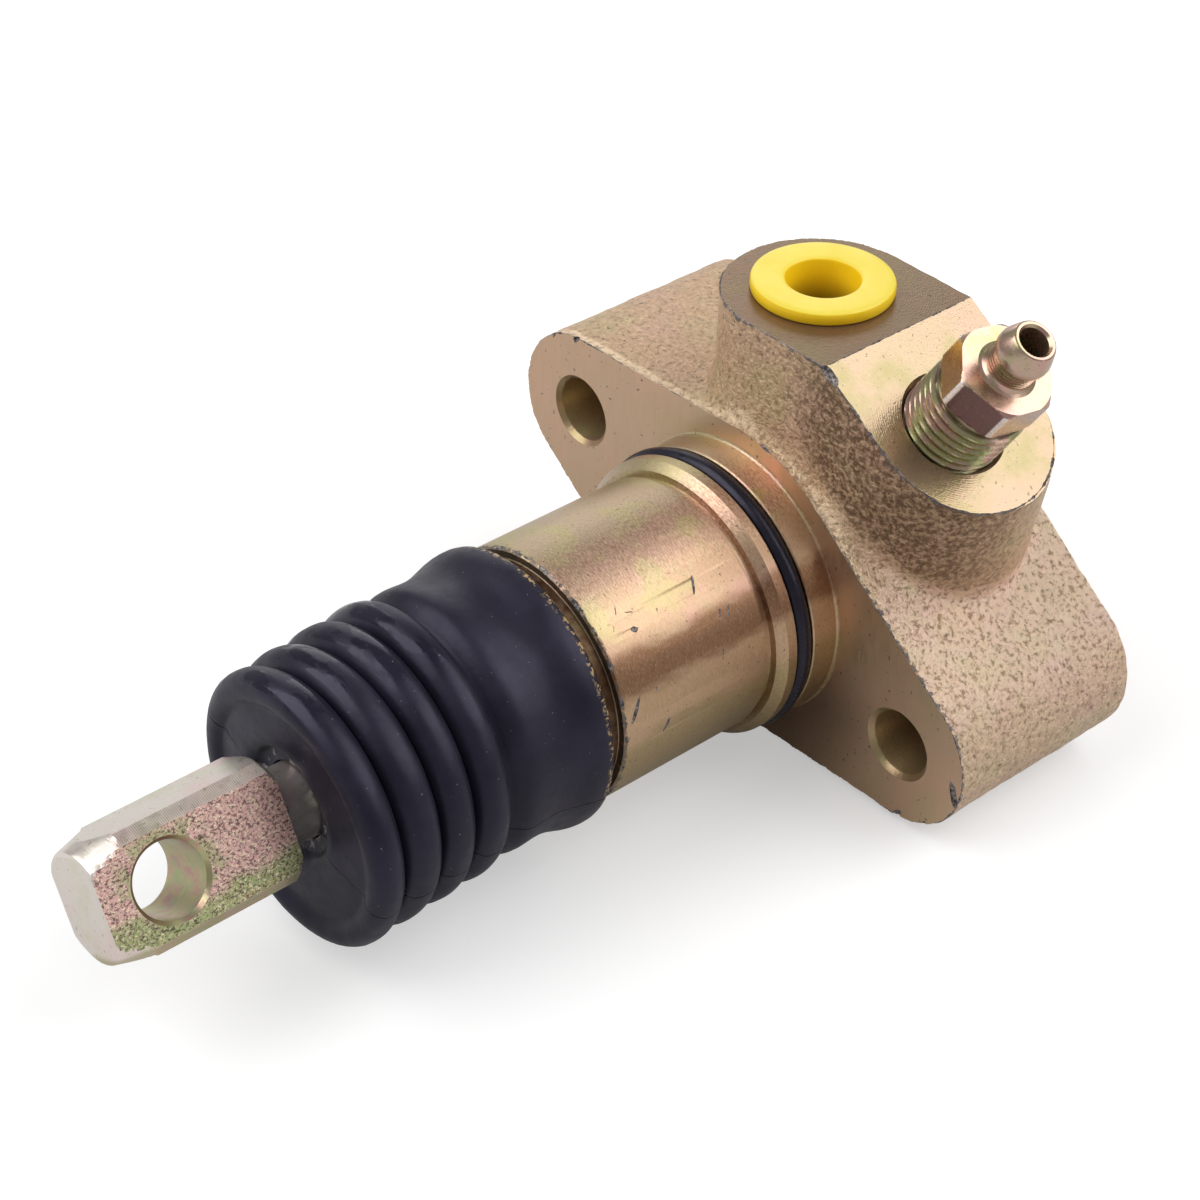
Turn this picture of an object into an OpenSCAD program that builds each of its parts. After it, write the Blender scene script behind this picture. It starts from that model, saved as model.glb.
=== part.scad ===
// Flange-mounted hydraulic brake slave cylinder: an iron casting with a closed
// bore, a sprung piston and cup, and a push rod that leaves through a rubber boot.
// The bore runs along Y with the rod towards -Y. The origin is where the bore's
// axis meets the machined mounting face, and +Z points out of the fluid port.

/* [Flange] */
// Depth of the flange from the machined face to its back
flange_t = 24.4; // [18:0.1:30]
// Distance between the two bolt holes
bolt_spacing = 48.8; // [44:0.1:60]
// Clearance hole for an M6 bolt
bolt_hole_d = 6.8; // [5.5:0.1:8.5]
// Countersink width on each side of a bolt hole
bolt_hole_chamfer = 0.5; // [0.2:0.1:1]
// Width of each ear around its bolt hole
ear_d = 17; // [14:0.1:19]
// Diameter of the hub between the ears
hub_d = 33.4; // [31:0.1:38]
// Lean of the line through the two bolt holes
ear_angle = -17.6; // [-30:0.1:0]
// Round on the cast edge at the back of the flange
back_round = 1.6; // [0.5:0.1:2.5]

/* [Barrel] */
// Outside diameter of the turned barrel
barrel_d = 26.4; // [25.4:0.1:27.4]
// Length of the barrel from the machined face to the shoulder behind the boot
barrel_len = 26; // [20:0.1:40]
// Diameter of the nose that carries the boot
nose_d = 24.4; // [23.6:0.1:25]
// Length of the nose
nose_len = 10.5; // [9.5:0.1:16]
// Diameter of the pilot that centres the flange in its bracket
pilot_d = 29; // [28:0.1:31]
// Length of the pilot
pilot_len = 7.4; // [6.6:0.1:10]
// Chamfer at the front of the pilot
pilot_chamfer = 0.8; // [0.2:0.1:1]
// Depth of the undercut in front of the pilot
relief_depth = 0.35; // [0.1:0.05:0.6]

/* [Bore] */
// Bore of the cylinder, three quarters of an inch
bore_d = 19.05; // [18:0.05:20]
// Distance from the machined face to the closed end of the bore
bore_depth = 18.4; // [16:0.1:20]
// Chamfer at the mouth of the bore
mouth_chamfer = 0.8; // [0.3:0.1:1.2]

/* [Bosses] */
// Half width and end radius of the two bosses
boss_r = 9.85; // [8:0.05:12]
// Distance of the bosses from the machined face
boss_setback = 1.25; // [0.5:0.05:3]
// Height of the port face above the bore's axis
port_face_h = 27.6; // [24:0.1:34]
// Offset of the port from the bore's axis
port_offset = -1.25; // [-2:0.05:2]
// Lean of the bleed hole from the port
bleed_tilt = 32.8; // [25:0.1:45]
// Distance of the bleed face from the bore's axis
bleed_face_h = 28; // [24:0.1:34]
// Offset of the bleed hole from the bore's axis
bleed_offset = 2.65; // [0:0.05:4]
// Distance of the bleed hole from the middle of its boss
bleed_shift = -0.95; // [-1.5:0.05:1.5]
// Thread diameter of the fluid port and the bleed screw
thread_d = 10; // [8:0.5:10]
// Depth of the threaded holes below their faces
thread_depth = 10.6; // [8:0.1:12]
// Drilling that joins a threaded hole to the bore
passage_d = 2.6; // [1.5:0.1:3.5]

/* [Bleed screw] */
// Width of the hexagon across its flats
bleed_hex_af = 9; // [8:0.5:11]
// Height of the hexagon
bleed_hex_h = 4; // [3:0.1:6]
// Turn of the hexagon where the screw is tightened
bleed_hex_turn = 21; // [0:1:59]
// Length of thread that stands out of the face
bleed_standout = 6; // [3:0.1:9]
// Length of the hose nipple beyond the hexagon
nipple_len = 5.2; // [4:0.1:10]
// Diameter of the nipple at its barb
nipple_d = 5.4; // [4.5:0.1:7]
// Diameter of the neck under the barb
nipple_neck_d = 4.5; // [3.6:0.1:5]
// Drilling along the bleed screw
bleed_bore_d = 2.9; // [1.5:0.1:3.1]

/* [Port plug] */
// Diameter of the plug's flange
plug_flange_d = 14; // [12:0.1:18]
// Thickness of the plug's flange
plug_flange_t = 1.3; // [0.8:0.1:2.5]
// Diameter of the hole in the plug
plug_hole_d = 7.2; // [5:0.1:8]
// Length of the plug's stem
plug_stem_len = 7.6; // [4:0.1:9]

/* [Piston and rod] */
// Length of the piston
piston_len = 20; // [18.5:0.1:22]
// Working stroke of the piston
stroke = 9; // [5:0.5:10]
// Diameter of the ball on the push rod
ball_d = 9; // [8:0.1:10]
// Diameter of the push rod's shank
shank_d = 7.4; // [6:0.1:7.8]
// Length of the push rod from the machined face to the end of its eye
rod_reach = 75.6; // [72:0.1:90]
// Length of the eye block
eye_len = 19; // [16:0.1:22]
// Thickness of the eye block along its hole
eye_t = 8; // [6:0.1:10]
// Width of the eye block
eye_w = 11.4; // [10:0.1:13]
// Chamfer along the eye block's edges
eye_chamfer = 1; // [0.4:0.1:1.5]
// Hole in the eye for the lever's pin
eye_hole_d = 7; // [5:0.1:8]
// Distance from the end of the eye to its hole
eye_hole_inset = 6.7; // [6:0.1:8]
// Turn of the eye's hole from the port's direction
eye_roll = 61.6; // [0:0.1:90]

/* [Boot] */
// Number of rings in the boot's bellows
boot_rings = 4; // [3:1:5]
// Radius of the boot over its rings
boot_ring_r = 13.6; // [13:0.05:15]
// Radius of the boot in the valleys between its rings
boot_valley_r = 11.9; // [11.6:0.05:12.4]
// Wall of the boot
boot_wall = 0.9; // [0.6:0.05:1.2]
// Radius of the sleeve that grips the nose, at its fullest
boot_sleeve_r = 14.2; // [13.9:0.05:15]
// Length of nose left bare between the barrel and the boot
boot_gap = 2.1; // [1:0.1:3]

/* [Seals and spring] */
// Section of the flange's sealing ring
o_ring_section = 1.9; // [1.5:0.05:2.1]
// How far the sealing ring stands out of the pilot
o_ring_proud = 0.2; // [0.1:0.05:0.5]
// Length of the pressure cup
cup_len = 6.5; // [5:0.1:8]
// Wire of the return spring
spring_wire = 1.2; // [0.8:0.05:1.6]
// Outside diameter of the return spring
spring_d = 14; // [12:0.1:15.5]
// Working turns of the return spring
spring_turns = 7; // [4:0.5:9]

/* [Hidden] */
$fn = 96;

// Clearances and small cuts
run_gap = 0.03;
seat_gap = 0.05;
soft_gap = 0.3;
eps = 0.01;

// How far the flange's straight sides run inside its round ends, so that they cross
side_bite = 0.04;

// Stations along the bore's axis, measured from the machined face towards the rod
back_z = -flange_t;
mouth_z = barrel_len + nose_len;
snap_t = 1;
snap_groove_w = snap_t + 2 * seat_gap;
snap_z = mouth_z - 1.1 - snap_groove_w;
snap_d = bore_d + 1.5;
snap_in_d = bore_d - 3.6;
washer_t = 0.8;
washer_hole_d = shank_d + 3.2;
washer_z = snap_z - washer_t;
piston_back_z = washer_z - seat_gap;
piston_front_z = piston_back_z - piston_len;
cup_front_z = piston_front_z - cup_len;
ball_inset = 8.4;
ball_z = piston_back_z - ball_inset;

// Piston's guide groove and seal groove
land_w = 2.2;
guide_w = 3;
guide_depth = 0.8;
guide_z = piston_front_z + land_w;
seal_w = 2.6;
seal_depth = 2;
seal_z = guide_z + guide_w + land_w;

// Clip that keeps the rod's ball, where its inner edge meets the ball
retainer_w = 1;
retainer_in_r = shank_d / 2 + 0.25;
retainer_z = ball_z + sqrt(pow(ball_d / 2, 2) - pow(retainer_in_r, 2));
retainer_r = ball_d / 2 + 0.9;

// Pressure cup, its spreader and the spring ahead of the piston
cup_floor_t = 2.2;
cup_floor_z = piston_front_z - seat_gap - cup_floor_t;
spreader_rim_t = 1;
spreader_spigot_h = 1.8;
spring_high_z = cup_floor_z - seat_gap - spreader_rim_t;
spring_low_z = -bore_depth;

// Sealing ring in the pilot
o_groove_w = o_ring_section + 0.2;
o_groove_front_z = pilot_len - pilot_chamfer - 1.25;
o_groove_root_r = pilot_d / 2 + o_ring_proud - o_ring_section - seat_gap;
o_ring_z = o_groove_front_z - o_groove_w / 2;
relief_w = 0.7;

// Bosses on the casting
boss_mid = boss_setback + boss_r;
bleed_y = boss_mid + bleed_shift;
hub_r = hub_d / 2;
ear_r = ear_d / 2;
foot_low = hub_r * 0.6;
foot_h = 9;
foot_flare = 0.3;
skirt_lean = 15;
skirt_turn = 29;
skirt_len = 18;
skirt_foot_r = boss_r + 1.1;
skirt_draft = 0.08;
thread_gap = 0.05;
thread_chamfer = 0.35;
seat_cone_h = 1.6;

// Eye block
eye_shoulder_z = rod_reach - eye_len;
eye_hole_z = rod_reach - eye_hole_inset;
eye_end_r = 5.35;
eye_cone_len = 3.4;
eye_corner_r = norm([eye_t / 2, eye_w / 2]);
neck_d = shank_d;
waist_len = 7;

// Boot, measured along the same axis
sleeve_back_z = barrel_len + boot_gap;
sleeve_front_z = mouth_z + 2.45;
boot_front_z = eye_shoulder_z - 1.8;
boot_dish = 1.4;
boot_bend = 1.6;
boot_lip_z = boot_front_z - boot_dish;
last_ring_z = boot_front_z - boot_bend;
ring_pitch = (last_ring_z - sleeve_front_z) / (boot_rings - 0.5);
boot_lip_r = neck_d / 2 + soft_gap / 2;
bead_root_r = nose_d / 2 - 1;
bead_back_z = sleeve_back_z + 1.2;
bead_w = 3;

// Places a shape drawn along +Z on the bore's axis, with +Z running to the rod
module on_bore() {
    rotate([90, 0, 0])
        children();
}

// Places a shape drawn along +Z on the port's axis, with zero on the port face
module on_port() {
    translate([port_offset, boss_mid, port_face_h])
        children();
}

// Places a shape drawn along +Z on the bleed hole's axis, with zero on its face
module on_bleed() {
    rotate([0, bleed_tilt, 0])
        translate([bleed_offset, bleed_y, bleed_face_h])
            children();
}

// A solid of revolution from a closed outline of [radius, height] points
module turned(outline) {
    rotate_extrude()
        polygon(outline);
}

// A washer-like ring between two radii and two heights
module ring(outer_r, inner_r, low, high) {
    turned([[inner_r, low], [outer_r, low], [outer_r, high], [inner_r, high]]);
}

// One ear's centre, on side 1 or -1, in the plane of the flange
function ear_at(side) = side * bolt_spacing / 2 * [cos(ear_angle), sin(ear_angle)];

// Angle between the centre line and a tangent that touches the hub and an ear
tangent_lean = asin((hub_r - ear_r) / (bolt_spacing / 2));

// Outline that joins the hub to one ear with its two tangents
module ear_web(side, inset) {
    base = ear_angle + (side > 0 ? 0 : 180);
    up = base + 90 - tangent_lean;
    down = base - 90 + tangent_lean;
    polygon([
        (hub_r - inset) * [cos(up), sin(up)],
        ear_at(side) + (ear_r - inset) * [cos(up), sin(up)],
        ear_at(side) + (ear_r - inset) * [cos(down), sin(down)],
        (hub_r - inset) * [cos(down), sin(down)],
        [0, 0]
    ]);
}

// A disc whose back edge is rounded, from the back of the flange to its face
module rounded_disc(r) {
    rotate_extrude()
        difference() {
            translate([0, back_z])
                square([r, flange_t]);
            translate([r - back_round, back_z])
                difference() {
                    translate([0, -eps])
                        square([back_round + eps, back_round + eps]);
                    translate([0, back_round])
                        circle(back_round);
                }
        }
}

// The lozenge flange, with the cast edge chamfered along its straight sides
module flange_body() {
    rounded_disc(hub_r);
    for (side = [1, -1]) {
        translate(ear_at(side))
            rounded_disc(ear_r);
        translate([0, 0, back_z + back_round])
            linear_extrude(flange_t - back_round)
                ear_web(side, side_bite);
        translate([0, 0, back_z + back_round / 3])
            linear_extrude(back_round)
                ear_web(side, back_round / 3);
        translate([0, 0, back_z])
            linear_extrude(back_round)
                ear_web(side, back_round);
    }
}

// Turned outside of the barrel, from behind the face to the mouth
module barrel_body() {
    nose_r = nose_d / 2;
    barrel_r = barrel_d / 2;
    pilot_r = pilot_d / 2;
    chamfer = 0.5;
    relief_r = barrel_r - relief_depth;
    turned([
        [0, -flange_t / 2],
        [pilot_r, -flange_t / 2],
        [pilot_r, o_groove_front_z - o_groove_w],
        [o_groove_root_r, o_groove_front_z - o_groove_w],
        [o_groove_root_r, o_groove_front_z],
        [pilot_r, o_groove_front_z],
        [pilot_r, pilot_len - pilot_chamfer],
        [pilot_r - pilot_chamfer, pilot_len],
        [relief_r, pilot_len],
        [relief_r, pilot_len + relief_w],
        [barrel_r, pilot_len + relief_w],
        [barrel_r, barrel_len - chamfer],
        [barrel_r - chamfer, barrel_len],
        [nose_r, barrel_len],
        [nose_r, bead_back_z],
        [bead_root_r, bead_back_z],
        [bead_root_r, bead_back_z + bead_w],
        [nose_r, bead_back_z + bead_w],
        [nose_r, mouth_z - chamfer],
        [nose_r - chamfer, mouth_z],
        [0, mouth_z]
    ]);
}

// A boss with a round end, standing up from the bore's axis along +Z
module boss(high, reach) {
    linear_extrude(high) {
        circle(boss_r);
        translate([reach > 0 ? 0 : reach, -boss_r])
            square([abs(reach), 2 * boss_r]);
    }
}

// The flare at the foot of a boss, where the casting runs out into the flange
module boss_foot() {
    translate([0, 0, foot_low])
        cylinder(h = foot_h, r1 = boss_r + foot_h * foot_flare, r2 = boss_r);
}

// The bleed boss spreads outwards and backwards below its face, towards the bolt
module boss_skirt() {
    spare = 3;
    high = skirt_len + spare;
    translate([0, 0, bleed_face_h])
        rotate([0, 0, skirt_turn])
            rotate([0, -skirt_lean, 0])
                translate([0, 0, -skirt_len])
                    cylinder(h = high, r1 = skirt_foot_r, r2 = skirt_foot_r - high * skirt_draft);
}

// The port boss and the bleed boss, each cut off by the other's face
module bosses() {
    side = 4 * boss_r;
    spare = 3;
    intersection() {
        union() {
            translate([port_offset, boss_mid, 0]) {
                boss(port_face_h + spare, boss_r + 3);
                boss_foot();
            }
            rotate([0, bleed_tilt, 0])
                translate([bleed_offset, boss_mid, 0]) {
                    boss(bleed_face_h + spare, -boss_r - 5);
                    boss_foot();
                    boss_skirt();
                }
        }
        translate([-side, eps, -side])
            cube([2 * side, flange_t - back_round, 2 * side]);
        translate([-side, -side, -side])
            cube([2 * side, 3 * side, side + port_face_h]);
        rotate([0, bleed_tilt, 0])
            translate([-side, -side, -side])
                cube([2 * side, 3 * side, side + bleed_face_h]);
    }
}

// A threaded hole with its chamfer, its seat cone and the drilling to the bore
module fluid_way(face_h) {
    hole_r = thread_d / 2 + thread_gap;
    seat_r = passage_d / 2;
    turned([
        [0, -face_h + bore_d / 4],
        [seat_r, -face_h + bore_d / 4],
        [seat_r, -thread_depth - seat_cone_h],
        [hole_r - 0.6, -thread_depth],
        [hole_r, -thread_depth],
        [hole_r, -thread_chamfer],
        [hole_r + thread_chamfer, 0],
        [hole_r + thread_chamfer, 1],
        [0, 1]
    ]);
}

// The stepped bore, closed by a drill point, with its snap ring groove
module bore_cut() {
    r = bore_d / 2;
    turned([
        [0, -bore_depth - 1.2],
        [r * 0.55, -bore_depth],
        [r, -bore_depth],
        [r, snap_z],
        [snap_d / 2 + 0.1, snap_z],
        [snap_d / 2 + 0.1, snap_z + snap_groove_w],
        [r, snap_z + snap_groove_w],
        [r, mouth_z - mouth_chamfer],
        [r + mouth_chamfer, mouth_z],
        [r + mouth_chamfer, mouth_z + 1],
        [0, mouth_z + 1]
    ]);
}

// A bolt hole through an ear, chamfered at both ends
module bolt_hole() {
    r = bolt_hole_d / 2;
    wide_r = r + bolt_hole_chamfer;
    turned([
        [0, back_z - 1],
        [wide_r, back_z - 1],
        [wide_r, back_z],
        [r, back_z + bolt_hole_chamfer],
        [r, -bolt_hole_chamfer],
        [wide_r, 0],
        [wide_r, 1],
        [0, 1]
    ]);
}

// Iron casting with its machined barrel, bore, ports and bolt holes
module housing() {
    color("#b79c73")
        difference() {
            union() {
                on_bore() {
                    flange_body();
                    barrel_body();
                }
                bosses();
            }
            on_bore() {
                bore_cut();
                for (side = [1, -1])
                    translate(ear_at(side))
                        bolt_hole();
            }
            on_port()
                fluid_way(port_face_h);
            on_bleed()
                fluid_way(bleed_face_h);
        }
}

// Rubber sealing ring in the pilot's groove
module flange_o_ring() {
    color("#17171a")
        on_bore()
            translate([0, 0, o_ring_z])
                rotate_extrude()
                    translate([pilot_d / 2 + o_ring_proud - o_ring_section / 2, 0])
                        circle(o_ring_section / 2, $fn = 32);
}

// Moulded plug that closes the port until a pipe is fitted
module port_plug() {
    stem_r = thread_d / 2 - 0.05;
    hole_r = plug_hole_d / 2;
    wall_end = 1.2;
    color("#f2d43c")
        on_port()
            turned([
                [hole_r, wall_end - plug_stem_len],
                [hole_r, plug_flange_t - 0.3],
                [hole_r + 0.3, plug_flange_t],
                [plug_flange_d / 2 - 0.3, plug_flange_t],
                [plug_flange_d / 2, plug_flange_t - 0.3],
                [plug_flange_d / 2, 0],
                [stem_r, 0],
                [stem_r, 0.6 - plug_stem_len],
                [stem_r - 0.6, -plug_stem_len],
                [0, -plug_stem_len],
                [0, wall_end - plug_stem_len]
            ]);
}

// Steel bleed screw: seat cone, thread, hexagon and barbed hose nipple
module bleed_screw() {
    thread_r = thread_d / 2;
    hole_r = bleed_bore_d / 2;
    neck_r = nipple_neck_d / 2;
    barb_r = nipple_d / 2;
    hex_low = bleed_standout;
    hex_high = hex_low + bleed_hex_h;
    tip = hex_high + nipple_len;
    corner_r = bleed_hex_af / 2 / cos(30);
    pin_r = thread_r - 1.6;
    cone_slope = (thread_r + thread_gap - 0.6 - passage_d / 2) / seat_cone_h;
    tip_z = -thread_depth - seat_cone_h + 0.3;
    tip_r = passage_d / 2 + (0.3 - seat_gap) * cone_slope;
    cross_z = -thread_depth + 1.6;
    color("#b99ab4")
        on_bleed()
            difference() {
                union() {
                    turned([
                        [0, tip_z],
                        [tip_r, tip_z],
                        [pin_r, tip_z + (pin_r - tip_r) / cone_slope],
                        [pin_r, -thread_depth + 3],
                        [thread_r - 0.6, -thread_depth + 3],
                        [thread_r, -thread_depth + 3.6],
                        [thread_r, hex_low - 0.9],
                        [thread_r - 0.6, hex_low - 0.5],
                        [thread_r - 0.6, hex_low + 0.5],
                        [0, hex_low + 0.5]
                    ]);
                    intersection() {
                        translate([0, 0, hex_low])
                            rotate([0, 0, bleed_hex_turn])
                                cylinder(h = bleed_hex_h, r = corner_r, $fn = 6);
                        turned([
                            [0, hex_low],
                            [corner_r - 0.25, hex_low],
                            [corner_r, hex_low + 0.2],
                            [corner_r, hex_high - 0.5],
                            [corner_r - 0.95, hex_high],
                            [0, hex_high]
                        ]);
                    }
                    turned([
                        [0, hex_high - 1],
                        [neck_r + 0.5, hex_high - 1],
                        [neck_r + 0.5, hex_high],
                        [neck_r, hex_high + 0.5],
                        [neck_r, tip - 3],
                        [barb_r, tip - 2.3],
                        [barb_r, tip - 1.7],
                        [barb_r - 0.6, tip],
                        [0, tip]
                    ]);
                }
                translate([0, 0, cross_z])
                    cylinder(h = tip - cross_z + 1, r = hole_r, $fn = 48);
                translate([0, 0, tip - 0.35])
                    cylinder(h = 0.36, r1 = hole_r, r2 = hole_r + 0.35, $fn = 48);
                translate([-thread_r, 0, cross_z])
                    rotate([0, 90, 0])
                        cylinder(h = 2 * thread_r, r = 0.8, $fn = 32);
            }
}

// Aluminium piston with a ball socket, a guide groove and a seal groove
module piston() {
    r = bore_d / 2 - run_gap;
    back = piston_back_z;
    front = piston_front_z;
    socket_r = ball_d / 2 + run_gap;
    mouth_r = socket_r + 1.1;
    clip_z = retainer_z;
    clip_w = retainer_w + 2 * seat_gap;
    clip_r = retainer_r + 0.1;
    color("#b9bcc0")
        on_bore()
            difference() {
                turned([
                    [0, front],
                    [r - 0.8, front],
                    [r, front + 0.8],
                    [r, guide_z],
                    [r - guide_depth, guide_z],
                    [r - guide_depth, guide_z + guide_w],
                    [r, guide_z + guide_w],
                    [r, seal_z],
                    [r - seal_depth, seal_z],
                    [r - seal_depth, seal_z + seal_w],
                    [r, seal_z + seal_w],
                    [r, back - 0.5],
                    [r - 0.5, back],
                    [0, back]
                ]);
                translate([0, 0, ball_z])
                    sphere(socket_r);
                translate([0, 0, ball_z])
                    cylinder(h = back - ball_z + 1, r = socket_r);
                translate([0, 0, clip_z])
                    cylinder(h = clip_w, r = clip_r);
                translate([0, 0, back - 1])
                    cylinder(h = 1 + eps, r1 = socket_r, r2 = mouth_r);
            }
}

// Split band that keeps the piston off the bore
module guide_ring() {
    r = bore_d / 2 - run_gap / 2;
    inner_r = bore_d / 2 - run_gap - guide_depth + seat_gap;
    slot = 0.6;
    color("#efe9dc")
        on_bore()
            difference() {
                ring(r, inner_r, guide_z + seat_gap, guide_z + guide_w - seat_gap);
                translate([0, -slot / 2, guide_z - 1])
                    cube([bore_d, slot, guide_w + 2]);
            }
}

// Square-backed lip seal in the piston's groove
module piston_seal() {
    r = bore_d / 2 - run_gap / 2;
    root_r = bore_d / 2 - run_gap - seal_depth + seat_gap;
    low = seal_z + seat_gap;
    high = seal_z + seal_w - seat_gap;
    color("#1c1c20")
        on_bore()
            turned([
                [root_r, low],
                [root_r + 0.6, low],
                [root_r + 1, low + 0.8],
                [r - 0.3, low],
                [r, low + 0.3],
                [r - 0.25, high - 0.4],
                [r - 0.6, high],
                [root_r, high]
            ]);
}

// Rubber pressure cup, its lips open towards the fluid
module pressure_cup() {
    r = bore_d / 2 - run_gap / 2;
    low = cup_front_z;
    high = piston_front_z - seat_gap;
    lip_w = bore_d / 9.5;
    color("#1c1c20")
        on_bore()
            turned([
                [0, cup_floor_z],
                [r - 2 * lip_w, cup_floor_z],
                [r - lip_w, cup_floor_z - 1],
                [r - 1.1, low],
                [r, low + 0.3],
                [r - 0.3, high - 1],
                [r - 1, high],
                [0, high]
            ]);
}

// Pressed seat that opens the cup's lips and carries the spring
module cup_spreader() {
    high = cup_floor_z - seat_gap;
    low = high - spreader_rim_t;
    spigot_r = spring_d / 2 - spring_wire - 0.15;
    rim_r = spring_d / 2;
    color("#c9b36a")
        on_bore()
            turned([
                [0, low - spreader_spigot_h],
                [spigot_r - 0.4, low - spreader_spigot_h],
                [spigot_r, low - spreader_spigot_h + 0.4],
                [spigot_r, low],
                [rim_r - 0.4, low],
                [rim_r - 0.4, low + 0.4],
                [spigot_r - 0.4, high],
                [0, high]
            ]);
}

// Height of the spring's wire at a share of its length, closed at both ends
function coil_height(t, turns, pitch_room) =
    let (dead = 1 / turns)
    t < dead ? 0 : t > 1 - dead ? pitch_room : pitch_room * (t - dead) / (1 - 2 * dead);

// Coil spring that keeps the cup and piston against the push rod
module return_spring() {
    turns = spring_turns + 2;
    r = (spring_d - spring_wire) / 2;
    wire_r = spring_wire / 2 - seat_gap / 2;
    end_lift = spring_wire / 2 + seat_gap / 2;
    room = spring_high_z - spring_low_z - 2 * end_lift - 2 * spring_wire;
    steps = ceil(turns * 16);
    sides = 6;
    rings = [for (i = [0:steps])
        let (
            t = i / steps,
            turn = 360 * turns * t,
            dead = 1 / turns,
            lift = spring_wire * (min(t, dead) + max(0, t - 1 + dead)) / dead,
            z = spring_low_z + end_lift + coil_height(t, turns, room) + lift
        )
        [for (k = [0:sides - 1])
            let (a = 360 * k / sides)
            [(r + wire_r * cos(a)) * cos(turn), (r + wire_r * cos(a)) * sin(turn), z + wire_r * sin(a)]
        ]
    ];
    color("#8f9296")
        on_bore()
            polyhedron(
                points = [for (section = rings) each section],
                faces = concat(
                    [[for (k = [0:sides - 1]) k]],
                    [[for (k = [0:sides - 1]) steps * sides + sides - 1 - k]],
                    [for (i = [0:steps - 1]) for (k = [0:sides - 1])
                        let (next = (k + 1) % sides)
                        [i * sides + k, (i + 1) * sides + k, (i + 1) * sides + next, i * sides + next]]
                )
            );
}

// The eye block before drilling: a flat bar with chamfered edges, turned at both ends
module eye_block() {
    t = eye_t / 2;
    w = eye_w / 2;
    c = eye_chamfer;
    intersection() {
        translate([0, 0, eye_shoulder_z])
            linear_extrude(eye_len)
                polygon([
                    [w - c, -t], [w, c - t], [w, t - c], [w - c, t],
                    [c - w, t], [-w, t - c], [-w, c - t], [c - w, -t]
                ]);
        turned([
            [0, eye_shoulder_z],
            [eye_corner_r - 1.5, eye_shoulder_z],
            [eye_corner_r, eye_shoulder_z + 1.2],
            [eye_corner_r, rod_reach - eye_cone_len - 1],
            [eye_end_r + 0.9, rod_reach - eye_cone_len],
            [eye_end_r, rod_reach],
            [0, rod_reach]
        ]);
    }
}

// Push rod: ball, shank, the neck that holds the boot's lip, and the eye
module push_rod() {
    hole_r = eye_hole_d / 2;
    chamfer = 0.4;
    waist_r = shank_d / 2 - 0.5;
    lip_groove_r = neck_d / 2;
    collar_r = neck_d / 2 + 0.6;
    color("#c8bba6")
        on_bore()
            rotate([0, 0, -eye_roll])
                difference() {
                    union() {
                        eye_block();
                        translate([0, 0, ball_z])
                            sphere(ball_d / 2);
                        turned([
                            [0, ball_z],
                            [waist_r, ball_z],
                            [waist_r, ball_z + waist_len],
                            [shank_d / 2, ball_z + waist_len + 1],
                            [shank_d / 2, boot_lip_z - 3],
                            [collar_r, boot_lip_z - 2.4],
                            [collar_r, boot_lip_z - 1.6],
                            [lip_groove_r, boot_lip_z - 1.6],
                            [lip_groove_r, eye_shoulder_z + 1],
                            [0, eye_shoulder_z + 1]
                        ]);
                    }
                    translate([0, 0, eye_hole_z])
                        rotate([90, 0, 0])
                            rotate_extrude()
                                polygon([
                                    [0, -eye_t],
                                    [hole_r + chamfer, -eye_t],
                                    [hole_r + chamfer, -eye_t / 2],
                                    [hole_r, chamfer - eye_t / 2],
                                    [hole_r, eye_t / 2 - chamfer],
                                    [hole_r + chamfer, eye_t / 2],
                                    [hole_r + chamfer, eye_t],
                                    [0, eye_t]
                                ]);
                }
}

// Spring clip in the piston that keeps the rod's ball in its socket
module rod_retainer() {
    gap = 2.4;
    color("#6f7276")
        on_bore()
            difference() {
                translate([0, 0, retainer_z + seat_gap])
                    ring(retainer_r, retainer_in_r, 0, retainer_w);
                translate([0, -gap / 2, retainer_z])
                    cube([bore_d, gap, 2 * retainer_w]);
            }
}

// Washer that stops the piston at the mouth of the bore
module stop_washer() {
    color("#a9a58c")
        on_bore()
            ring(bore_d / 2 - 0.1, washer_hole_d / 2, washer_z, washer_z + washer_t);
}

// Internal snap ring with two eyes for the pliers
module snap_ring() {
    out_r = snap_d / 2;
    in_r = snap_in_d / 2;
    gap_angle = 40;
    lug_r = 1.5;
    lug_at = in_r + 0.1;
    low = snap_z + seat_gap;
    color("#5f6165")
        on_bore()
            translate([0, 0, low])
                difference() {
                    union() {
                        difference() {
                            ring(out_r, in_r, 0, snap_t);
                            translate([0, 0, -1])
                                linear_extrude(snap_t + 2)
                                    polygon([
                                        [0, 0],
                                        2 * out_r * [cos(gap_angle / 2), sin(gap_angle / 2)],
                                        2 * out_r * [cos(gap_angle / 2), -sin(gap_angle / 2)]
                                    ]);
                        }
                        for (side = [1, -1])
                            rotate([0, 0, side * (gap_angle / 2 + 8)])
                                translate([lug_at, 0, 0])
                                    cylinder(h = snap_t, r = lug_r, $fn = 32);
                    }
                    for (side = [1, -1])
                        rotate([0, 0, side * (gap_angle / 2 + 8)])
                            translate([lug_at - 0.2, 0, -1])
                                cylinder(h = snap_t + 2, r = 0.6, $fn = 24);
                }
}

// Radius of the bellows at a height, from valley to ring and back
function bellows_r(z, thin) =
    let (
        phase = 360 * (z - sleeve_front_z) / ring_pitch,
        swing = (1 - cos(phase)) / 2
    )
    boot_valley_r + (boot_ring_r - boot_valley_r) * sqrt(swing) - thin;

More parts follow.
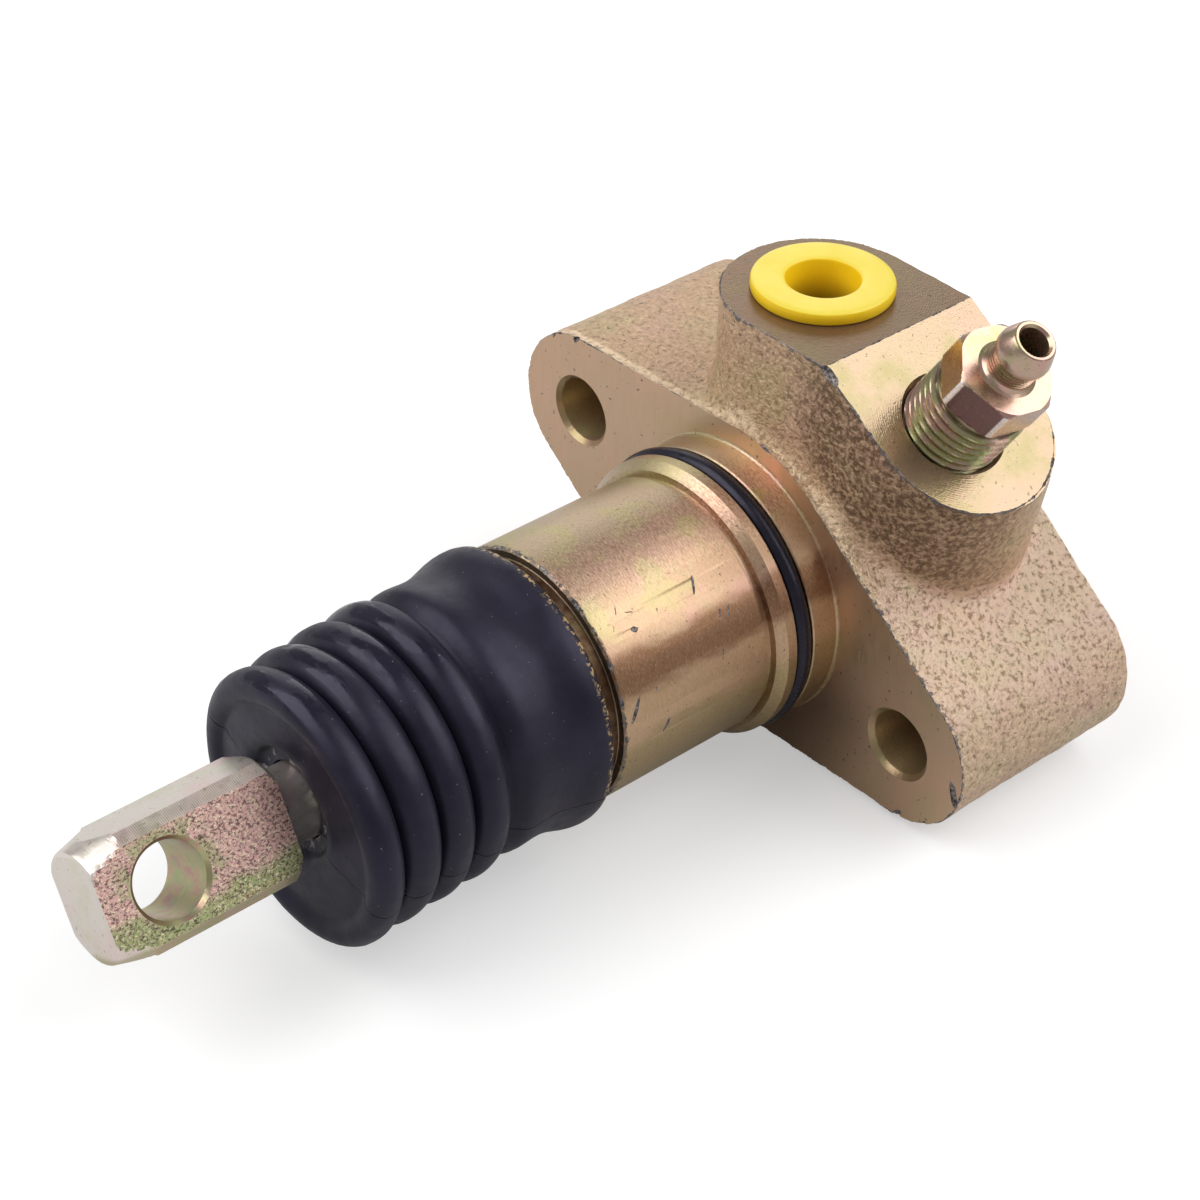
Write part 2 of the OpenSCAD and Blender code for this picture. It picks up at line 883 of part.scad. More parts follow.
// Rubber bellows boot from the cylinder's nose to the rod's neck
module dust_boot() {
    steps = 10 * boot_rings;
    step = ring_pitch * boot_rings / steps;
    nose_r = nose_d / 2 + soft_gap;
    bead_r = bead_root_r + soft_gap;
    mouth_r = boot_valley_r - 0.2;
    inner_bend = boot_bend - boot_wall;
    hole_r = boot_lip_r + 1;
    outside = concat(
        [
            [boot_sleeve_r - 0.3, sleeve_back_z],
            [boot_sleeve_r, sleeve_back_z + 0.4],
            [boot_sleeve_r, sleeve_back_z + 1.2],
            [boot_sleeve_r - 0.22, sleeve_back_z + 2.1],
            [boot_sleeve_r - 0.55, sleeve_back_z + 3.2],
            [boot_sleeve_r - 0.85, sleeve_back_z + 4.3],
            [boot_sleeve_r - 1, sleeve_back_z + 5.3],
            [boot_ring_r - 0.32, mouth_z - 0.6],
            [boot_ring_r - 0.35, mouth_z + 0.5]
        ],
        [for (i = [0:steps - 5]) [bellows_r(sleeve_front_z + i * step, 0), sleeve_front_z + i * step]],
        [for (a = [20:20:80])
            [boot_ring_r - boot_bend * (1 - cos(a)), last_ring_z + boot_bend * sin(a)]],
        [
            [boot_ring_r - boot_bend - 0.5, boot_front_z],
            [hole_r + 1.4, boot_front_z - 0.2],
            [hole_r + 0.5, boot_front_z - 0.6],
            [hole_r, boot_lip_z],
            [boot_lip_r, boot_lip_z]
        ]
    );
    inside = concat(
        [
            [boot_lip_r, boot_lip_z - 1.3],
            [hole_r + 0.6, boot_lip_z - 1.3],
            [hole_r + 1.6, boot_front_z - boot_wall - 0.2],
            [boot_ring_r - boot_bend - 0.5, boot_front_z - boot_wall]
        ],
        [for (a = [60:-20:20])
            [boot_ring_r - boot_wall - inner_bend * (1 - cos(a)), last_ring_z + inner_bend * sin(a)]],
        [for (i = [steps - 5:-1:1])
            [bellows_r(sleeve_front_z + i * step, boot_wall), sleeve_front_z + i * step]],
        [
            [mouth_r - boot_wall, sleeve_front_z - 0.2],
            [mouth_r - boot_wall, mouth_z + soft_gap],
            [nose_r, mouth_z + soft_gap],
            [nose_r, bead_back_z + bead_w - soft_gap],
            [bead_r, bead_back_z + bead_w - soft_gap],
            [bead_r, bead_back_z + soft_gap],
            [nose_r, bead_back_z + soft_gap],
            [nose_r, sleeve_back_z]
        ]
    );
    color("#2b2832")
        on_bore()
            turned(concat(outside, inside));
}

housing();
flange_o_ring();
port_plug();
bleed_screw();
piston();
guide_ring();
piston_seal();
pressure_cup();
cup_spreader();
return_spring();
push_rod();
rod_retainer();
stop_washer();
snap_ring();
dust_boot();
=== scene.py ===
import bpy, bmesh, math, random
from mathutils import Matrix, Vector, geometry, noise


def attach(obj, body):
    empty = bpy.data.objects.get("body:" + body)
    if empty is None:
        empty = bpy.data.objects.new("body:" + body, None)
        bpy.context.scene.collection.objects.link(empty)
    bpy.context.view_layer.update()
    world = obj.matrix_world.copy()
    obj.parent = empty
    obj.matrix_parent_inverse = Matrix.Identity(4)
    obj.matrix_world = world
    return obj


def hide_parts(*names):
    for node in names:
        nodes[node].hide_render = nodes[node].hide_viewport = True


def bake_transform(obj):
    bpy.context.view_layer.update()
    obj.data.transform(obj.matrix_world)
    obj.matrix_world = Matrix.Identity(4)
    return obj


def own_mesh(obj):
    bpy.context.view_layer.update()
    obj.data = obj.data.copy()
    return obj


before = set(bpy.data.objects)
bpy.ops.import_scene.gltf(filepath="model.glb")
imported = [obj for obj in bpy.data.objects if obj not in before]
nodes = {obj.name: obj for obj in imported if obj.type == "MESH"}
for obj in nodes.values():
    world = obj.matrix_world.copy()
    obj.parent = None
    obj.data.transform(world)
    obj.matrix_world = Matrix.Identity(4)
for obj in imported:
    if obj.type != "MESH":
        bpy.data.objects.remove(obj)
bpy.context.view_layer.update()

# ---------------------------------------------------------------- housing
# The body is an iron sand casting: a lozenge flange with two ears and two bosses.
# Its mounting face, barrel, port faces and holes are machined, and the whole piece
# is then zinc plated and passivated yellow. Knocks have bared the iron at its edges.
mm = 0.001
flange_t = 24.4
hub_r, ear_r, ear_reach, ear_lean = 16.7, 8.5, 24.4, math.radians(-17.6)
boss_r, boss_y, port_x, port_h = 9.85, 11.1, -1.25, 27.6
bleed_lean, bleed_x, bleed_y, bleed_h = math.radians(32.8), 2.65, 10.15, 28.0
barrel_r, barrel_len, mouth_h, bore_r = 13.2, 26.0, 36.5, 9.525
along_bore = Matrix.Rotation(math.radians(90), 4, "X")
on_port = Matrix.Translation((port_x, boss_y, port_h))
lean = Matrix.Rotation(bleed_lean, 4, "Y")
on_bleed = lean @ Matrix.Translation((bleed_x, bleed_y, bleed_h))
ears = [Vector((side * ear_reach * math.cos(ear_lean), 0, side * ear_reach * math.sin(ear_lean)))
        for side in (1, -1)]


def placed(name, data):
    """A new object in the scene."""
    thing = bpy.data.objects.new(name, data)
    bpy.context.scene.collection.objects.link(thing)
    return thing


def piece_from(work, name):
    """A new object that holds a bmesh, its faces pointing outwards."""
    bmesh.ops.remove_doubles(work, verts=work.verts, dist=1e-5)
    bmesh.ops.recalc_face_normals(work, faces=work.faces)
    mesh = bpy.data.meshes.new(name)
    work.to_mesh(mesh)
    work.free()
    return placed(name, mesh)


def skinned(work, rows, name, closed=False, capped=False):
    """A piece whose faces join rows of vertices, where a row may be one point on the axis."""
    for low, high in list(zip(rows, rows[1:])) + ([(rows[-1], rows[0])] if closed else []):
        for k in range(len(low)):
            n = (k + 1) % len(low)
            corners = list(dict.fromkeys((low[k], low[n], high[n], high[k])))
            if len(corners) > 2:
                work.faces.new(corners)
    if capped:
        work.faces.new(rows[0])
        work.faces.new(rows[-1])
    return piece_from(work, name)


def shaped(name, rows, radius_at, angles, place, closed=False):
    """A solid about an axis whose radius depends on the row and on the angle."""
    work = bmesh.new()
    loops = []
    for kind, height in rows:
        if kind == 0:
            loops.append([work.verts.new(place @ Vector((0, 0, height)))] * len(angles))
            continue
        loops.append([work.verts.new(place @ Vector((
            radius_at(kind, a, height) * math.cos(a), radius_at(kind, a, height) * math.sin(a),
            height))) for a in angles])
    return skinned(work, loops, name, closed)


def turned(name, outline, place, around=160, closed=False):
    """A lathe-turned solid from [radius, height] points, from axis to axis or as a closed ring."""
    angles = [2 * math.pi * k / around for k in range(around)]
    return shaped(name, outline, lambda radius, angle, height: radius, angles, place, closed)


def prism(name, outline, low, high, place):
    """A straight solid on a flat outline."""
    work = bmesh.new()
    ends = [[work.verts.new(place @ Vector((x, y, h))) for x, y in outline] for h in (low, high)]
    work.faces.new(ends[0])
    work.faces.new(ends[1])
    for k in range(len(outline)):
        n = (k + 1) % len(outline)
        work.faces.new([ends[0][k], ends[0][n], ends[1][n], ends[1][k]])
    return piece_from(work, name)


def settle(piece):
    """Makes what the modifiers give the piece's own mesh."""
    bpy.context.view_layer.update()
    made = bpy.data.meshes.new_from_object(
        piece.evaluated_get(bpy.context.evaluated_depsgraph_get()))
    piece.modifiers.clear()
    piece.data = made


def machine(piece, tools, how="DIFFERENCE"):
    """Cuts the tools out of the piece, or joins them to it, one after the other."""
    for tool in tools:
        step = piece.modifiers.new("cut", "BOOLEAN")
        step.operation, step.solver, step.object = how, "MANIFOLD", tool
        step.material_mode = "INDEX"
    settle(piece)
    for tool in tools:
        bpy.data.objects.remove(tool)


def surface_of(piece, index):
    """Gives all the faces of a piece one of its finishes."""
    for face in piece.data.polygons:
        face.material_index = index


def arc(centre, radius, start, end, count):
    return [(centre[0] + radius * math.cos(math.radians(start + (end - start) * k / count)),
             centre[1] + radius * math.sin(math.radians(start + (end - start) * k / count)))
            for k in range(count + 1)]


def start_finish(name):
    """A new material with its shader, ready for its pattern."""
    finish = bpy.data.materials.new(name)
    finish.use_nodes = True
    tree = finish.node_tree
    tree.nodes.clear()
    shader = tree.nodes.new("ShaderNodeBsdfPrincipled")
    output = tree.nodes.new("ShaderNodeOutputMaterial")
    tree.links.new(shader.outputs[0], output.inputs[0])
    return finish, tree, shader


def feed(tree, socket, value):
    """Sets a socket, or joins it to the node that makes its value."""
    if isinstance(value, bpy.types.NodeSocket):
        tree.links.new(value, socket)
    elif isinstance(value, (tuple, list)) and len(value) == 3 and socket.type == "RGBA":
        socket.default_value = (*value, 1)
    else:
        socket.default_value = value


def sum_of(tree, how, *values, kind="ShaderNodeMath", out=0):
    """One step of arithmetic on numbers, or on vectors with the vector kind of node."""
    node = tree.nodes.new(kind)
    node.operation = how
    for socket, value in zip(node.inputs, values):
        feed(tree, socket, value)
    return node.outputs[out]


def product(tree, first, *others):
    for other in others:
        first = sum_of(tree, "MULTIPLY", first, other)
    return first


def vector_of(tree, how, *values, out="Vector"):
    return sum_of(tree, how, *values, kind="ShaderNodeVectorMath", out=out)


def spot(tree, stretch=(1, 1, 1), shift=(0, 0, 0)):
    """The point on the piece, in millimetres, pressed together along each axis by stretch."""
    where = tree.nodes.new("ShaderNodeTexCoord").outputs["Object"]
    return vector_of(tree, "MULTIPLY_ADD", where, [1000 * s for s in stretch], shift)


def grain(tree, size, detail=3.0, rough=0.55, stretch=(1, 1, 1), shift=(0, 0, 0)):
    """Random pattern with patches of about that size in millimetres, from 0 to 1."""
    node = tree.nodes.new("ShaderNodeTexNoise")
    feed(tree, node.inputs["Vector"], spot(tree, stretch, shift))
    node.inputs["Scale"].default_value = 1 / size
    node.inputs["Detail"].default_value = detail
    node.inputs["Roughness"].default_value = rough
    return node.outputs["Fac"]


def ramp(tree, value, low, high, bottom=0.0, top=1.0):
    """Runs smoothly from bottom to top as the value goes from low to high."""
    node = tree.nodes.new("ShaderNodeMapRange")
    node.interpolation_type = "SMOOTHSTEP"
    for socket, given in zip(node.inputs[:5], (value, low, high, bottom, top)):
        feed(tree, socket, given)
    return node.outputs[0]


def tint(tree, share, first, second):
    """Goes from the first colour to the second as share goes from 0 to 1."""
    node = tree.nodes.new("ShaderNodeMix")
    node.data_type = "RGBA"
    feed(tree, node.inputs["Factor"], share)
    feed(tree, [s for s in node.inputs if s.name == "A" and s.type == "RGBA"][0], first)
    feed(tree, [s for s in node.inputs if s.name == "B" and s.type == "RGBA"][0], second)
    return [s for s in node.outputs if s.type == "RGBA"][0]


def relief(tree, shader, layers):
    """Raises the surface by each layer's pattern, at its depth in millimetres."""
    before = None
    for height, depth in layers:
        node = tree.nodes.new("ShaderNodeBump")
        node.inputs["Strength"].default_value = 1
        node.inputs["Distance"].default_value = depth * mm
        feed(tree, node.inputs["Height"], height)
        if before:
            tree.links.new(before, node.inputs["Normal"])
        before = node.outputs[0]
    tree.links.new(before, shader.inputs["Normal"])


def stain(tree, colour, hue, *shares):
    """Turns the colour towards the hue by the product of the shares."""
    return tint(tree, product(tree, *shares), colour, hue)


def specked(tree, colour, hue, share, size, shift, low, high):
    """Small specks in another hue."""
    specks = ramp(tree, grain(tree, size, 2, 0.5, shift=shift), low, high, 1, 0)
    return stain(tree, colour, hue, specks, share)


def coated(finish, shader, colour, metallic, roughness, layers):
    """Gives a finish its colour, metal, roughness and relief."""
    tree = finish.node_tree
    feed(tree, shader.inputs["Base Color"], colour)
    feed(tree, shader.inputs["Metallic"], metallic)
    feed(tree, shader.inputs["Roughness"], roughness)
    relief(tree, shader, layers)
    return finish


def radius_about(tree, point, axis):
    """Distance in millimetres from an axis through a point."""
    away = vector_of(tree, "SUBTRACT", spot(tree), point)
    return vector_of(tree, "LENGTH", vector_of(tree, "CROSS_PRODUCT", away, axis), out="Value")


def uneven(tree, size, low, high, detail=3):
    """A value that wanders between low and high over patches of about that size."""
    return ramp(tree, grain(tree, size, detail), 0.3, 0.7, low, high)


def passivated(tree, tan, pink, olive, size):
    """The passivation's drifting colours, tan with pinker and greener patches."""
    first = ramp(tree, grain(tree, size, 4, 0.6), 0.42, 0.66)
    second = ramp(tree, grain(tree, size * 0.8, 4, 0.6, shift=(31, 7, 12)), 0.46, 0.7)
    return tint(tree, second, tint(tree, first, tan, pink), olive)


def height_over(tree, axis, height=0):
    """Distance in millimetres beyond a plane square to the axis, at that height along it."""
    along = vector_of(tree, "DOT_PRODUCT", spot(tree), axis, out="Value")
    return sum_of(tree, "SUBTRACT", along, height)


def cast_finish():
    finish, tree, shader = start_finish("cast_zinc")
    colour = passivated(tree, (0.62, 0.425, 0.27), (0.66, 0.43, 0.305), (0.58, 0.445, 0.26), 9)
    sand = grain(tree, 0.55, 4, 0.68)
    lumps = grain(tree, 1.0, 2, 0.5, shift=(9, 2, 60))
    # The sand's grains vary in tone; their raised tops also carry painted glints, and their hollows
    # painted shade
    colour = stain(tree, colour, (0.95, 0.70, 0.48), ramp(tree, sand, 0.50, 0.68, 0, 0.5))
    colour = stain(tree, colour, (0.19, 0.105, 0.06), ramp(tree, sand, 0.32, 0.48, 0.6, 0))
    colour = specked(tree, colour, (0.07, 0.05, 0.045), 0.75, 0.5, (5, 40, 3), 0.25, 0.37)
    # The ear beside the bleed screw is painted paler and pinker: painted light and glints on the side
    # that faces the lamps
    over_ear = height_over(tree, (0.605, 0, 0.796), hub_r)
    colour = stain(
        tree, colour,
        passivated(tree, (0.98, 0.76, 0.58), (1.0, 0.74, 0.64), (0.92, 0.78, 0.54), 6),
        ramp(tree, height_over(tree, (1, 0, 0)), 12, 19),
        ramp(tree, height_over(tree, (0.3, 0, 0.95)), 5, 9, 0.25, 0.8),
        ramp(tree, over_ear, 0.5, 2.2, 1, 0), ramp(tree, sand, 0.39, 0.51, 0.1, 1))
    # The sides of the bleed boss are painted a darker brown: painted shade under the bleed face
    colour = stain(
        tree, colour, (0.19, 0.115, 0.068), ramp(tree, height_over(tree, (1, 0, 0)), 3.5, 9.5),
        ramp(tree, height_over(tree, (0, 1, 0)), 4.0, 16.0, 1, 0),
        ramp(tree, over_ear, 0.8, 2.8), ramp(tree, sand, 0.40, 0.60, 1, 0.35))
    # The rounded ledge over the flange face is painted bright: a painted highlight where the fillet
    # catches the front light
    behind = sum_of(tree, "ADD", height_over(tree, (0, -1, 0)), sum_of(
        tree, "MULTIPLY_ADD", grain(tree, 2.2, 3, 0.6, shift=(7, 7, 2)), 0.7, -0.35))
    above = height_over(tree, (0, 0, 1))
    colour = stain(tree, colour, (1.0, 0.79, 0.55), ramp(tree, behind, -1.15, -0.75),
                   ramp(tree, above, 4.0, 9.0), ramp(tree, sand, 0.38, 0.52, 0.15, 0.75))
    # The plating is chipped off in a ragged line along the edges of the machined faces
    ragged = sum_of(tree, "MULTIPLY_ADD", grain(tree, 0.8, 4, 0.7, shift=(3, 3, 3)), 2.6, -1.28)
    for axis, height, share in (((0, -1, 0), 0.0, ramp(tree, above, 8, 14, 0.9, 0.25)),
                                ((0, 0, 1), port_h, 0.9), (tuple(bleed_axis), bleed_h, 0.9)):
        near = sum_of(tree, "ADD", height_over(tree, axis, height), ragged)
        bare = tint(tree, grain(tree, 0.35, 3, 0.7), (0.05, 0.045, 0.045), (0.30, 0.27, 0.26))
        colour = stain(tree, colour, bare, ramp(tree, near, -0.28, -0.12), share)
    return coated(finish, shader, colour, 0.7, uneven(tree, 2.2, 0.32, 0.44),
                  [(lumps, 0.3), (sand, 0.55)])


def faced_finish():
    finish, tree, shader = start_finish("faced_zinc")
    colour = passivated(tree, (0.60, 0.42, 0.28), (0.66, 0.42, 0.29), (0.57, 0.42, 0.26), 14)
    colour = specked(tree, colour, (0.10, 0.075, 0.06), 0.8, 0.45, (2, 8, 1), 0.27, 0.31)
    # The faced flange is painted dark brown low down and nearer the barrel: a painted dark reflection
    # of the shadowed floor beneath
    colour = stain(tree, colour, (0.16, 0.10, 0.065),
                   ramp(tree, height_over(tree, (0, 0, -1)), 1, 10),
                   ramp(tree, radius_about(tree, (0, 0, 0), (0, 1, 0)), 24, 15), 0.75)
    streaks = grain(tree, 0.5, 2, 0.6, stretch=(1, 1, 0.12))
    return coated(finish, shader, colour, 0.92, ramp(tree, streaks, 0.3, 0.7, 0.33, 0.45),
                  [(streaks, 0.012), (grain(tree, 0.3, 2), 0.02)])


def spotfaced_finish(name, point, axis, tan, pink, olive):
    """A face cut by a turning tool, whose rings lie about the axis."""
    finish, tree, shader = start_finish(name)
    colour = passivated(tree, tan, pink, olive, 8)
    colour = specked(tree, colour, (0.12, 0.09, 0.07), 0.75, 0.4, (12, 8, 21), 0.28, 0.33)
    rings = sum_of(tree, "SINE", product(tree, radius_about(tree, point, axis), 26))
    return coated(finish, shader, colour, 0.75, 0.25,
                  [(rings, 0.002), (grain(tree, 0.25, 2), 0.03)])


def turned_finish():
    finish, tree, shader = start_finish("turned_zinc")
    colour = passivated(tree, (0.56, 0.37, 0.235), (0.60, 0.36, 0.27), (0.52, 0.40, 0.23), 7)
    # The barrel carries long bands of copper, gold, olive and dark brown, partly the passivation's
    # drift and partly painted reflections of the studio
    over = sum_of(tree, "MULTIPLY_ADD", grain(tree, 3.5, 3, 0.6, stretch=(1, 0.5, 1)), 3.4,
                  height_over(tree, (-0.709, 0, 0.705), 1.7))
    for low, high, hue, share in (
            (3.2, 4.6, (0.50, 0.30, 0.22), 0.6), (7.5, 9.5, (0.50, 0.40, 0.26), 0.8),
            (-1.0, -2.6, (0.25, 0.12, 0.058), 0.88), (-5.2, -6.6, (0.56, 0.38, 0.23), 0.9),
            (-8.6, -10.2, (0.36, 0.28, 0.13), 0.7)):
        colour = stain(tree, colour, hue, ramp(tree, over, low, high, 0, share))
    olive = ramp(tree, grain(tree, 5, 2, 0.5, shift=(3, 30, 8)), 0.5, 0.62, 0, 0.6)
    colour = stain(tree, colour, (0.50, 0.44, 0.20), olive, ramp(tree, over, -2, 1))
    # Turning marks show where the plating is thin, as short fine lines about the axis
    lines = grain(tree, 0.24, 4, 0.75, stretch=(0.6, 2.6, 0.6))
    thin = ramp(tree, sum_of(tree, "ABSOLUTE", sum_of(tree, "SUBTRACT", over, 6.5)),
                2.0, 5.0, 1, 0.35)
    colour = stain(tree, colour, (0.90, 0.66, 0.50), ramp(tree, lines, 0.5, 0.62, 0, 0.5), thin)
    colour = stain(tree, colour, (0.17, 0.10, 0.06), ramp(tree, lines, 0.40, 0.48, 0.6, 0), thin)
    colour = specked(tree, colour, (0.12, 0.08, 0.05), 0.7, 0.4, (3, 1, 7), 0.27, 0.32)
    # The barrel's front shoulder is knocked bare in a ragged line
    along = height_over(tree, (0, -1, 0), barrel_len)
    ragged = sum_of(tree, "MULTIPLY_ADD", grain(tree, 0.9, 4, 0.7, shift=(8, 1, 4)), 2.2, -1.05)
    bare = tint(tree, grain(tree, 0.3, 3, 0.7), (0.06, 0.05, 0.05), (0.34, 0.27, 0.20))
    colour = stain(tree, colour, bare, ramp(tree, sum_of(tree, "ADD", along, ragged), -0.25, -0.1),
                   ramp(tree, along, 0.04, 0.08, 1, 0), 0.85)
    # The gap in front of the shoulder is painted nearly black-brown: painted shade between the barrel
    # and the boot's sleeve
    colour = stain(tree, colour, (0.05, 0.022, 0.008), ramp(tree, along, 0.06, 0.12),
                   ramp(tree, grain(tree, 1.2, 3, 0.6), 0.3, 0.7, 1, 0.85))
    return coated(finish, shader, colour, 0.85, ramp(tree, lines, 0.3, 0.7, 0.28, 0.4),
                  [(lines, 0.025)])


def drilled_finish(name, tan, pink, olive, size, metallic, roughness, pits, depth):
    """The duller plating inside a drilled hole."""
    finish, tree, shader = start_finish(name)
    return coated(finish, shader, passivated(tree, tan, pink, olive, size), metallic, roughness,
                  [(grain(tree, *pits), depth)])


def bared_finish():
    finish, tree, shader = start_finish("bared_iron")
    colour = tint(tree, ramp(tree, grain(tree, 0.35, 4, 0.7), 0.38, 0.66),
                  (0.05, 0.045, 0.045), (0.34, 0.30, 0.29))
    return coated(finish, shader, colour, 0.5, 0.5, [(grain(tree, 0.18, 2), 0.03)])


bleed_axis = lean @ Vector((0, 0, 1))
CAST, FACED, PORT, BLEED, TURNED, DRILLED, BARED = range(7)
housing_finishes = [
    cast_finish(), faced_finish(),
    spotfaced_finish("port_face_zinc", (port_x, boss_y, port_h), (0, 0, 1),
                     (0.235, 0.16, 0.098), (0.26, 0.165, 0.105), (0.25, 0.185, 0.095)),
    spotfaced_finish("bleed_face_zinc", tuple(on_bleed @ Vector((0, 0, 0))), tuple(bleed_axis),
                     (0.42, 0.315, 0.20), (0.44, 0.305, 0.215), (0.34, 0.285, 0.14)),
    turned_finish(),
    drilled_finish("drilled_zinc", (0.38, 0.28, 0.15), (0.42, 0.27, 0.18), (0.36, 0.31, 0.15),
                   4, 0.8, 0.38, (0.35, 2, 0.6), 0.03),
    bared_finish()]

# The pattern: the flange outline is the hull of the hub and the two ears, and each boss is
# a straight column with a round end. Everything runs on past the faces that are cut later.
round_points = arc((0, 0), hub_r - 0.1, 0, 360, 96)
for ear in ears:
    round_points += arc((ear.x, ear.z), ear_r - 0.1, 0, 360, 72)
hull = geometry.convex_hull_2d([Vector(p) for p in round_points])
flange_outline = [round_points[k] for k in hull]
casting = prism("housing_casting", flange_outline, 0.15 - flange_t, 3, along_bore)
port_column = prism("port_column", arc((port_x, boss_y), boss_r, 90, 270, 40) + [
    (port_x + boss_r + 3, boss_y - boss_r), (port_x + boss_r + 3, boss_y + boss_r)],
    0, port_h + 4, Matrix())
bleed_column = prism("bleed_column", arc((bleed_x, boss_y), boss_r, -90, 90, 40) + [
    (bleed_x - boss_r - 5, boss_y + boss_r), (bleed_x - boss_r - 5, boss_y - boss_r)],
    0, bleed_h + 4, lean)
feet = [turned("boss_foot", [(0, 10), (boss_r + 2.7, 10), (boss_r, 19), (0, 19)],
               turn @ Matrix.Translation((x, boss_y, 0)), 96)
        for turn, x in ((Matrix(), port_x), (lean, bleed_x))]
skirt = turned("bleed_skirt", [(0, -18), (boss_r + 1.1, -18), (boss_r - 0.58, 3), (0, 3)],
               lean @ Matrix.Translation((bleed_x, boss_y, bleed_h)) @ Matrix.Rotation(
                   math.radians(29), 4, "Z") @ Matrix.Rotation(math.radians(-15), 4, "Y"), 96)
machine(casting, [port_column, bleed_column, skirt] + feet, "UNION")

# The sand mould: fine even faces, soft fillets where the bosses meet the flange, and the
# slightly wavy skin of the casting.
skin = casting.modifiers.new("sand", "REMESH")
skin.mode, skin.voxel_size = "VOXEL", 0.36
soft = casting.modifiers.new("fillets", "SMOOTH")
soft.factor, soft.iterations = 0.5, 12
settle(casting)
casting.data.update()
starts = [(v.co.copy(), v.normal.copy()) for v in casting.data.vertices]
for vertex, (place, up) in zip(casting.data.vertices, starts):
    wave = 0.09 * noise.noise(place * 0.28) + 0.07 * noise.noise(place * 0.9 + Vector((7, 1, 3)))
    vertex.co = place + up * wave
surface_of(casting, CAST)


def block(name, place, finish):
    """A large block whose lowest face is the plane that a cutter leaves."""
    side = 60
    tool = prism(name, [(-side, -side), (side, -side), (side, side), (-side, side)], 0, side, place)
    surface_of(tool, finish)
    return tool


machine(casting, [
    block("facing", along_bore, FACED),
    block("port_facing", Matrix.Translation((0, 0, port_h)), PORT),
    block("bleed_facing", lean @ Matrix.Translation((0, 0, bleed_h)), BLEED)])

# Turned in one setting: the pilot with its ring groove, the undercut, the barrel and nose.
groove_front, groove_w, groove_r, pilot_r = 5.35, 2.1, 12.9, 14.5
barrel = turned("barrel", [
    (0, -12), (15.0, -12), (15.0, -0.12), (14.85, -0.03), (14.62, 0.06), (pilot_r, 0.25),
    (pilot_r, groove_front - groove_w - 0.15), (14.4, groove_front - groove_w),
    (groove_r, groove_front - groove_w), (groove_r, groove_front), (14.4, groove_front),
    (pilot_r, groove_front + 0.12), (pilot_r, 6.55), (14.42, 6.66), (13.78, 7.3), (13.66, 7.4),
    (12.9, 7.4), (12.85, 7.5), (12.85, 8.05), (12.95, 8.12), (13.14, 8.14), (13.2, 8.22),
    (13.2, 25.55), (13.12, 25.82), (12.9, 26.0), (12.25, 26.0), (12.2, 26.1), (12.2, 29.3),
    (11.2, 29.3), (11.2, 32.3), (12.2, 32.3), (12.2, 36.0), (11.7, mouth_h), (0, mouth_h)],
    along_bore, 256)
surface_of(barrel, TURNED)
machine(casting, [barrel], "UNION")

# Bored and drilled: the stepped bore, two bolt holes and the two tapped fluid ways.
snap_w, snap_r, mouth_bevel = 1.1, 10.375, 0.8
snap_h = mouth_h - snap_w - 1.1
bore = turned("bore", [
    (0, -19.6), (5.24, -18.4), (bore_r, -18.4), (bore_r, snap_h), (snap_r, snap_h),
    (snap_r, snap_h + snap_w), (bore_r, snap_h + snap_w), (bore_r, mouth_h - mouth_bevel),
    (bore_r + mouth_bevel, mouth_h), (bore_r + mouth_bevel, mouth_h + 1), (0, mouth_h + 1)],
    along_bore, 160)
drills = [bore]
for ear in ears:
    drills.append(turned("bolt_hole", [
        (0, -27), (4.2, -27), (4.2, -24.7), (3.4, -23.9), (3.4, -0.55), (3.48, -0.42),
        (3.9, 0.0), (4.1, 0.2), (4.1, 1), (0, 1)], Matrix.Translation(ear) @ along_bore, 96))
for face, height in ((on_port, port_h), (on_bleed, bleed_h)):
    drills.append(turned("fluid_way", [
        (0, 4.76 - height), (1.3, 4.76 - height), (1.3, -12.2), (4.45, -10.6), (5.05, -10.6),
        (5.05, -0.5), (5.35, -0.12), (5.55, 0.15), (5.55, 1), (0, 1)], face, 128))
for tool in drills:
    surface_of(tool, DRILLED)
machine(casting, drills)

# Knocks and gouges: small ragged dents along the machined edges, and a few scrapes on the
# barrel, that show the bare iron.
luck = random.Random(11)


def dent(work, centre, along, up, size):
    """One ragged dent: a lumpy ball, longer along than across."""
    along = (along - up * along.dot(up)).normalized()
    across = along.cross(up)
    start = len(work.verts)
    bmesh.ops.create_icosphere(work, subdivisions=2, radius=1)
    work.verts.ensure_lookup_table()
    seed = Vector((luck.uniform(0, 90), luck.uniform(0, 90), 5))
    for vertex in work.verts[start:]:
        lump = 1 + 0.45 * noise.noise(vertex.co * 1.6 + seed)
        place = Vector([vertex.co[k] * size[k] * lump for k in range(3)])
        vertex.co = centre + along * place.x + across * place.y + up * place.z


